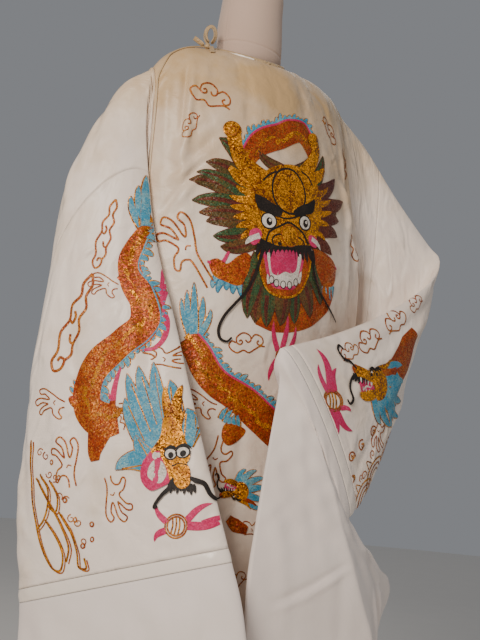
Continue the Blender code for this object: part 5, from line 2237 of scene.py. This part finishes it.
    @staticmethod
    def draw_tuft(needle: Needle, base: Pair, tip: Pair, width: float, bend: float, thread: Thread, level:
            float) -> None:
        """Stitch a leaf with a darker outline and a maroon half along its outer side.

        Args:
            needle: what it is stitched with.
            base: its root.
            tip: its tip.
            width: at its widest.
            bend: sideways bow.
            thread: its thread.
            level: its layer.
        """
        needle.leaf(base, tip, width, bend, thread, level, MAROON)
        base, tip = np.array(base), np.array(tip)
        way = tip - base
        side = np.array([-way[1], way[0]]) / max(np.linalg.norm(way), 1e-6)
        shift = side * math.copysign(width * 0.2, bend)
        needle.leaf(base + way * 0.25 + shift, tip - way * 0.03, width * 0.3, bend * 0.8, MAROON, level +
            1.6)

    def limbs(self, needle: Needle) -> None:
        """Forelimbs with a pink frill above, blue fins below and an outlined foot.

        Args:
            needle: what it is stitched with.
        """
        needle.fins(((-132, 1053), (-113, 1046), (-93, 1043), (-79, 1050)), 26, 10, 0.1, BLUE, 0, -1.0,
            DEEP_BLUE)
        needle.fins(((86, 1074), (105, 1068), (135, 1072)), 22, 9, 0.0, BLUE, 0, -1.0, DEEP_BLUE)
        needle.patch(self.left_limb, ORANGE, 2, 1.0)
        needle.patch(self.right_limb, ORANGE, 2, 1.0)
        needle.stroke(((-149, 1080), (-137, 1078), (-123, 1081), (-115, 1095), (-110, 1106)),
            (4, 7, 7, 6, 3), PINK, 3)
        needle.stroke(((115, 1127), (131, 1117), (148, 1107)), (3, 6, 3), PINK, 3)
        needle.leaf((-94, 1086), (-122, 1065), 15, 3, GOLD, 3)
        needle.leaf((86, 1118), (126, 1095), 13, -3, GOLD, 3)

    def horns(self, needle: Needle) -> None:
        """Horns with a knob and a branch each.

        Args:
            needle: what it is stitched with.
        """
        needle.stroke(((-47, 1236), (-71, 1250), (-93, 1266), (-103, 1289), (-109, 1311)),
            (40, 35, 29, 25, 27), GOLD, 6, 0.5)
        needle.disc(-111, 1315, 17, 14, GOLD, 8)
        needle.curl(-111, 1315, 11, 200, 1.1, 2.4, RUST, 10)
        needle.stroke(((-68, 1228), (-95, 1235), (-115, 1250)), (30, 24, 9), GOLD, 6, 0.5)
        needle.stroke(((34, 1254), (59, 1281), (78, 1311), (71, 1332)), (36, 30, 24, 20), GOLD, 6, 0.5)
        needle.disc(69, 1333, 14, 12, GOLD, 8)
        needle.stroke(((59, 1257), (89, 1273), (105, 1288)), (26, 20, 8), GOLD, 6, 0.5)

    def fill_mouth(self, needle: Needle) -> None:
        """White gums, pink palate and tongue, small white teeth with dark outlines, two fangs.

        Args:
            needle: what it is stitched with.
        """
        inner = np.array(self.mouth)
        middle = inner.mean(0)
        needle.patch(middle + (inner - middle) * 0.84, WHITE, 10, 0.3)
        needle.patch(self.palate, PINK, 11, 0.6)
        needle.stroke(((-16, 1073), (-11, 1087), (-1, 1094), (9, 1088), (14, 1080)), 1.8, WHITE, 12, 0.3)
        for x, y in ((-28, 1063), (-17, 1058), (-3, 1057), (11, 1058), (26, 1065)):
            needle.disc(x, y, 5.2, 6.6, WHITE, 11, BLACK, 1.5)
        for x, y in ((-37, 1109), (35, 1117)):
            needle.leaf((x, y), (x, y - 17), 8, 0, WHITE, 12)
        needle.leaf((-33, 1055), (-38, 1072), 8, 0, WHITE, 12)
        needle.leaf((33, 1065), (39, 1087), 8, 0, WHITE, 12)
        needle.patch(((-75, 1142), (-62, 1149), (-52, 1142), (-56, 1127), (-67, 1118), (-75, 1125)), PINK,
            9)
        needle.patch(((57, 1154), (71, 1156), (82, 1147), (75, 1135), (60, 1139)), PINK, 9)
        needle.leaf((-56, 1137), (-83, 1117), 13, -4, WHITE, 10)
        needle.leaf((64, 1150), (89, 1133), 11, 4, WHITE, 10)

    def features(self, needle: Needle) -> None:
        """Forehead boss, brows, eyes, nose, moustache and whiskers.

        Args:
            needle: what it is stitched with.
        """
        needle.disc(7, 1227, 39, 41, GOLD, 10, BLACK, 3.6)
        for line in (
                ((-28, 1183), (-13, 1176), (3, 1176), (23, 1183), (38, 1191)),
                ((-51, 1236), (-39, 1248), (-23, 1258)),
                ((38, 1271), (56, 1264), (66, 1250))):
            needle.stroke(line, 3.0, BLACK, 10)
        needle.patch(self.left_brow, BLACK, 12)
        needle.patch(self.right_brow, BLACK, 12)
        for x, y, wide, high in ((-38, 1166, 16, 14), (45, 1176, 14.5, 13)):
            needle.disc(x, y, wide, high, WHITE, 10, BLACK, 2.6)
            needle.disc(x + 1, y - 1, 6.4, 7.4, BLACK, 13)
            needle.disc(x + 2, y + 1, 3.0, 3.0, WHITE, 16)
        for x, y, wide, high in ((-13, 1132, 17, 13), (29, 1134, 17, 13)):
            needle.disc(x, y, wide, high, GOLD, 10, BLACK, 2.8)
        needle.disc(8, 1146, 20, 19, GOLD, 12, RUST, 2.2)
        needle.stroke(self.nose_line, (4, 3.4, 3.4, 3.4, 3.4, 3.4, 4), BLACK, 10)
        for x, y in ((-15, 1128), (31, 1130)):
            needle.disc(x, y, 4.2, 3.2, BLACK, 13)
        needle.stroke(((-56, 1127), (-39, 1122), (-17, 1121), (8, 1124), (34, 1129), (61, 1131)),
            (12, 11, 6, 5, 9, 12), BLACK, 12)
        for k in range(15):
            x = -56 + 8.6 * k
            drop = 14 + 8 * abs(k - 7) / 7 + 3 * math.sin(2.3 * k)
            needle.leaf((x, 1125 + 0.06 * x), (x * 1.12, 1123 + 0.06 * x - drop), 9, 0, BLACK, 12)
        needle.stroke(self.left_whisker, (6, 5.5, 5.5, 5, 5, 5, 5.5, 5, 4, 3), BLACK, 13)
        needle.stroke(self.right_whisker, (6, 5, 5, 4.5, 4, 3), BLACK, 13)


@dataclass
class LowerDragon:
    """Dragon across the skirt: its tail plume, trunk, legs and small head, a pearl and clouds."""
    plume: tuple = (
        ((-168, 950), (-189, 1013), 13, 3), ((-166, 953), (-180, 1028), 14, 3),
        ((-163, 954), (-169, 1042), 14, 0), ((-158, 955), (-152, 1019), 13, -3),
        ((-153, 954), (-137, 998), 12, -4),
    )
    trunk: tuple = ((-174, 946), (-156, 924), (-138, 894), (-114, 870), (-82, 856), (-49, 835), (-15, 811),
        (30, 790), (80, 800), (120, 840), (142, 900), (150, 970))
    trunk_widths: tuple = (40, 46, 50, 50, 54, 58, 60, 60, 58, 52, 38, 12)

    def draw(self, needle: Needle) -> None:
        """Draw the dragon and what surrounds it.

        Args:
            needle: what it is stitched with.
        """
        draw_plume(needle, self.plume)
        draw_body(needle, self.trunk, self.trunk_widths, 19.0)
        needle.fins(((-107, 815), (-92, 806), (-73, 805)), 30, 9, 0.0, BLUE, 1, 1.0, GOLD)
        needle.patch(((-100, 805), (-79, 806), (-59, 798), (-69, 782), (-91, 770), (-104, 783)), ORANGE, 2,
            0.9)
        draw_claw(needle.at(-111, 753, 168, 0.95), 34)
        draw_claw(needle.at(-134, 836, 80, 0.8), 22)
        draw_round_cloud(needle.at(-65, 945, 12, 0.78))
        draw_pearl(needle.at(10, 930), 17, (
            (-14, 10, -26, 62, 12, 5), (-4, 16, 2, 80, 12, -6), (12, 12, 26, 58, 11, -5),
            (-16, -6, -30, -44, 11, -5), (14, -8, 24, -36, 9, 4)))
        draw_side_head(needle.at(-69, 695, 184, 0.62, True))
        needle.stroke(((-83, 648), (-68, 637), (-47, 629)), (14, 24, 14), ORANGE, 2, 0.8)
        draw_claw(needle.at(-41, 629, -70, 0.62), 20)
        for x, y, turn, size in (
                (-66, 545, 20, 0.6),
                (-60, 470, 150, 0.7),
                (30, 640, 0, 0.9),
                (120, 560, 20, 0.9),
                (-20, 350, 8, 1.0),
                (150, 330, -12, 1.0)):
            draw_round_cloud(needle.at(x, y, turn, size))
        for x in (-250, -150, -50, 50, 150, 250):
            draw_wave(needle.at(x, 150))


def draw_wave(needle: Needle) -> None:
    """Hem waves: three nested arches and spray curls, 100 mm wide, outlined in gold and rust.

    Args:
        needle: what it is stitched with.
    """
    for k, reach in enumerate((44, 33, 22)):
        turn = np.linspace(0, math.pi, 8)
        line = np.stack([reach * np.cos(turn), -26 + (reach + 8) * np.sin(turn)], -1)
        needle.stroke(line, 3.6 - 0.4 * k, GOLD if k % 2 == 0 else RUST, 1, 0.4)
    needle.curl(-24, 36, 10, -60, 1.2, 2.2, RUST)
    needle.curl(22, 38, 9, 200, -1.2, 2.2, RUST)
    needle.stroke(((-8, 30), (0, 46), (7, 30)), 2.2, GOLD, 1, 0.4)


@dataclass
class ChestClouds:
    """Clouds and the outlined foot round the chest's dragon."""
    clouds: tuple = (
        (-147, 1365, -16, 0.86, False), (-184, 1316, 62, 0.56, False),
        (132, 1364, -38, 0.66, True), (202, 1316, -72, 0.72, False), (232, 1170, -80, 0.7, True),
    )

    def draw(self, needle: Needle) -> None:
        """Draw them."""
        for x, y, turn, size, flip in self.clouds:
            draw_round_cloud(needle.at(x, y, turn, size, flip))
        draw_claw(needle.at(-179, 1094, 36, 1.3), 52)


@dataclass
class RightSleeveDragon:
    """Dragon that climbs the hanging sleeve: plume above, head below, with waves at the hem."""
    plume: tuple = (
        ((-68, 1126), (-95, 1180), 14, 5), ((-67, 1130), (-89, 1201), 14, 3),
        ((-66, 1130), (-85, 1222), 15, 0), ((-64, 1127), (-76, 1193), 13, -3),
        ((-61, 1120), (-61, 1138), 11, -4), ((-60, 1113), (-50, 1103), 11, 4),
    )
    trunk: tuple = ((-64, 1130), (-70, 1105), (-77, 1077), (-76, 1046), (-57, 1016), (-39, 987), (-40, 954),
        (-66, 927), (-98, 898), (-117, 864), (-120, 830), (-107, 806), (-83, 797), (-61, 803), (-45, 819))
    trunk_widths: tuple = (15, 27, 33, 36, 42, 48, 50, 50, 52, 54, 56, 60, 62, 56, 44)
    mane: tuple = (
        ((22, 736), (-52, 718), 38, -14, 6.5), ((4, 751), (-50, 835), 30, 7, 5.6),
        ((13, 761), (-52, 875), 30, 6, 4.8), ((19, 772), (-36, 889), 30, 5, 4),
        ((24, 779), (-13, 898), 30, 3, 3.2), ((39, 790), (17, 870), 26, -4, 2.4),
        ((56, 766), (49, 826), 28, -9, 3.2), ((9, 736), (-23, 776), 26, 6, 7.4),
    )
    pink: tuple = (
        ((-18, 985), (-33, 1058), 11, -5), ((-18, 971), (-34, 1026), 8, 4),
        ((-71, 808), (-63, 888), 12, 6), ((-74, 814), (-81, 842), 7, -3),
    )
    skull: tuple = ((16, 777), (17, 804), (25, 825), (36, 832), (46, 816), (49, 791), (62, 765), (68, 747),
        (61, 731), (68, 713), (60, 697), (46, 703), (33, 726), (20, 746), (6, 751))
    muzzle: tuple = ((48, 739), (60, 741), (71, 729), (74, 707), (65, 697), (52, 703), (44, 721))

    def draw(self, needle: Needle) -> None:
        """Draw it from the lowest layer up.

        Args:
            needle: what it is stitched with.
        """
        draw_plume(needle, self.plume)
        for base, tip, width, bend in self.pink:
            needle.leaf(base, tip, width, bend, PINK, 1)
        needle.stroke(((-19, 992), (-6, 970), (-3, 942), (-13, 923), (-36, 916)), (5, 7, 8, 8, 4), PINK, 1)
        needle.fins(((-142, 838), (-132, 850), (-116, 854)), 22, 9, 0.0, BLUE, 0, 1.0, GOLD)
        needle.patch(((-155, 829), (-137, 835), (-114, 828), (-123, 810), (-146, 814)), ORANGE, 1, 0.8)
        draw_body(needle, self.trunk, self.trunk_widths, 16.0, False)
        needle.stroke(((-86, 786), (-92, 763), (-95, 744), (-92, 729)), (48, 38, 28, 18), ORANGE, 2, 0.5)
        needle.stroke(((-91, 1037), (-77, 1029), (-63, 1019)), (7, 12, 14), ORANGE, 1, 0.8)
        draw_claw(needle.at(-99, 1021, 82, 0.72), 14)
        draw_claw(needle.at(-173, 818, 84, 0.86), 14)
        draw_claw(needle.at(-55, 685, 205, 0.95), 24)
        draw_claw(needle.at(-3, 902, -75, 0.84), 18)
        needle.stroke(((-33, 912), (-20, 911), (-11, 906)), 3.0, RUST, 1, 0.3)
        draw_claw(needle.at(-137, 710, 20, 1.0), 28)
        self.head(needle)
        self.surround(needle)

    def head(self, needle: Needle) -> None:
        """Head that looks down, three quarters on.

        Args:
            needle: what it is stitched with.
        """
        for base, tip, width, bend, level in self.mane:
            needle.leaf(base, tip, width, bend, BLUE, level, GOLD)
            spine = np.array(base) + np.outer((0.2, 0.5, 0.85), np.array(tip) - np.array(base))
            needle.stroke(spine, 2.4, GOLD, level + 1.7, 0.2)
        for base, tip in (((32, 799), (13, 859)), ((37, 805), (36, 864))):
            needle.leaf(base, tip, 17, 4, GOLD, 9)
        needle.patch(((-5, 706), (-6, 729), (4, 751), (20, 756), (39, 737), (48, 713), (28, 696),
            (12, 691)), PINK, 9)
        needle.patch(((7, 713), (11, 736), (25, 737), (35, 719), (27, 703)), WHITE, 11, 0.3)
        needle.stroke(((15, 753), (19, 730), (20, 707), (13, 695)), (8, 9, 8, 4), PINK, 12)
        needle.disc(15, 746, 6, 7, WHITE, 12)
        needle.patch(self.skull, GOLD, 10, 0.4)
        needle.patch(self.muzzle, GOLD, 12, 0.5)
        needle.stroke(((42, 732), (54, 737), (67, 735)), 2.4, BLACK, 13)
        for x, y in ((37, 751), (56, 755)):
            needle.disc(x, y, 10.5, 9.0, WHITE, 12, BLACK, 2.2)
            needle.disc(x + 1, y - 2, 4.8, 5.2, BLACK, 15)
            needle.stroke(((x - 12, y + 6), (x, y + 12), (x + 11, y + 8)), (2, 5, 2), BLACK, 14)
        x, y = 46, 705
        for k in range(9):
            needle.leaf((x + 4.2 * k, y + 5 - 0.5 * k), (x - 6 + 5.6 * k, y - 13 - 4 * (k % 2)), 7, 0,
                BLACK, 11)
        needle.stroke(((48, 713), (43, 697), (34, 687), (25, 673), (22, 664), (28, 667)),
            (5, 8, 6, 5, 4, 3), BLACK, 12)
        needle.stroke(((73, 716), (84, 712), (95, 708), (105, 693), (115, 683)), (5, 8, 6, 5, 3), BLACK, 12)

    def surround(self, needle: Needle) -> None:
        """Pearl, clouds, waves and spray.

        Args:
            needle: what it is stitched with.
        """
        draw_pearl(needle.at(62, 639), 18.5, (
            (16, 10, 50, 40, 12, 6), (18, 2, 70, 14, 15, -5), (40, 8, 84, 22, 10, 4),
            (-16, 4, -38, 30, 11, 5), (-16, -8, -34, -28, 12, -6)))
        draw_trailing_cloud(needle.at(-121, 1108, -4, 1.02))
        draw_trailing_cloud(needle.at(-158, 952, -14, 1.46))
        for k, (x, y) in enumerate(((-155, 696), (-139, 661), (-118, 631), (-98, 591), (-175, 720),
                (-86, 627), (-83, 603))):
            needle.disc(x, y, 4 + k % 2, 5, RUST, 1)
            needle.disc(x, y, 2, 2.6, WHITE, 2)
        for spine in (
                ((-225, 753), (-220, 703), (-208, 645), (-187, 590), (-161, 551), (-140, 546),
                 (-138, 572), (-156, 602), (-178, 625)),
                ((-199, 698), (-178, 674), (-178, 633), (-196, 606)),
                ((-207, 691), (-177, 657), (-147, 624), (-128, 589), (-129, 561)),
                ((-176, 690), (-156, 666), (-157, 640), (-177, 649)),
                ((-149, 640), (-127, 614), (-110, 583), (-104, 557), (-89, 556), (-94, 572))):
            needle.stroke(spine, 3.8, GOLD, 1, 0.5)
            needle.stroke(np.array(spine) + [5.2, -2.5], 2.4, RUST, 1, 0.3)
        x, y = -203, 734
        for k in range(9):
            needle.curl(x + 13 * k, y - 17 * k + 12 * (k % 2), 7.5, 40 + 70 * k, 1.1, 2.0, RUST)


@dataclass
class LeftSleeveDragon:
    """Dragon's head on the raised sleeve, facing the cuff, with a pearl, clouds and waves."""

    def draw(self, needle: Needle) -> None:
        """Draw it.

        Args:
            needle: what it is stitched with.
        """
        needle.stroke(((183, 892), (218, 917), (248, 945), (272, 977), (295, 1006)), (40, 56, 58, 50, 24),
            ORANGE, 0, 0.5)
        x, y = 188, 875
        for k in range(6):
            needle.leaf((x + 7 * k, y + 9 * k), (x + 22 + 7 * k, y - 52 + 13 * k), 15, 6, BLUE, 2, GOLD)
        draw_side_head(needle.at(152, 897, -10, 1.12))
        draw_pearl(needle.at(36, 859, 0, 1.1, False, 1.3), 16.5, (
            (-2, 14, -16, 78, 15, -8), (4, 15, 12, 52, 12, 6), (-8, 12, -20, 54, 9, 5),
            (-6, -14, 2, -56, 14, 7), (4, -15, 34, -44, 13, -7), (12, -10, 30, -14, 9, 4)))
        draw_claw(needle.at(165, 820, 170, 0.72), 14)
        for (x, y), turn, size, flip in (
                ((95, 946), 26, 0.62, True),
                ((160, 974), 28, 0.82, False),
                ((239, 1016), 32, 0.80, True),
                ((312, 1062), 36, 0.56, False)):
            draw_round_cloud(needle.at(x, y, turn, size, flip))
        for (x, y), turn, size in (((228, 778), 52, 0.74), ((157, 740), 56, 0.78), ((125, 704), 60, 0.66)):
            draw_wave(needle.at(x, y, turn, size, False, 1.25))
        for (x, y), turn in (((82, 766), 10), ((111, 787), 70), ((86, 731), 120), ((148, 813), 40)):
            needle.curl(x, y, 11, turn, 1.2, 2.8, RUST)
            needle.curl(x + 4, y + 2, 6, turn + 140, 1.0, 2.2, GOLD)


# ---- all of it
def main() -> None:
    """Build the robe, piece by piece."""
    logging.basicConfig(level=logging.INFO, format="%(name)s %(message)s")
    finishes = Finishes()
    Studio().build()
    DressForm().build(finishes)
    body = BodyCut()
    Panels(body, finishes).build(Trimmings(body, finishes).build())
    right = Sleeve(body, finishes, RIGHT_SLEEVE, 160, 58, 132, RIGHT_CREASES, RIGHT_UPPER_CREASES, 11,
                   (0.5, -0.866), 0.0)
    left = Sleeve(body, finishes, LEFT_SLEEVE, 160, 48, 140, LEFT_CREASES, LEFT_UPPER_CREASES, 15,
                  (1.0, 0.0), 0.36)
    right.build(RightSleeveDragon())
    left.build(LeftSleeveDragon())
    RightWaterSleeve(right).build()
    LeftWaterSleeve(left).build()


if __name__ == "__main__":
    main()
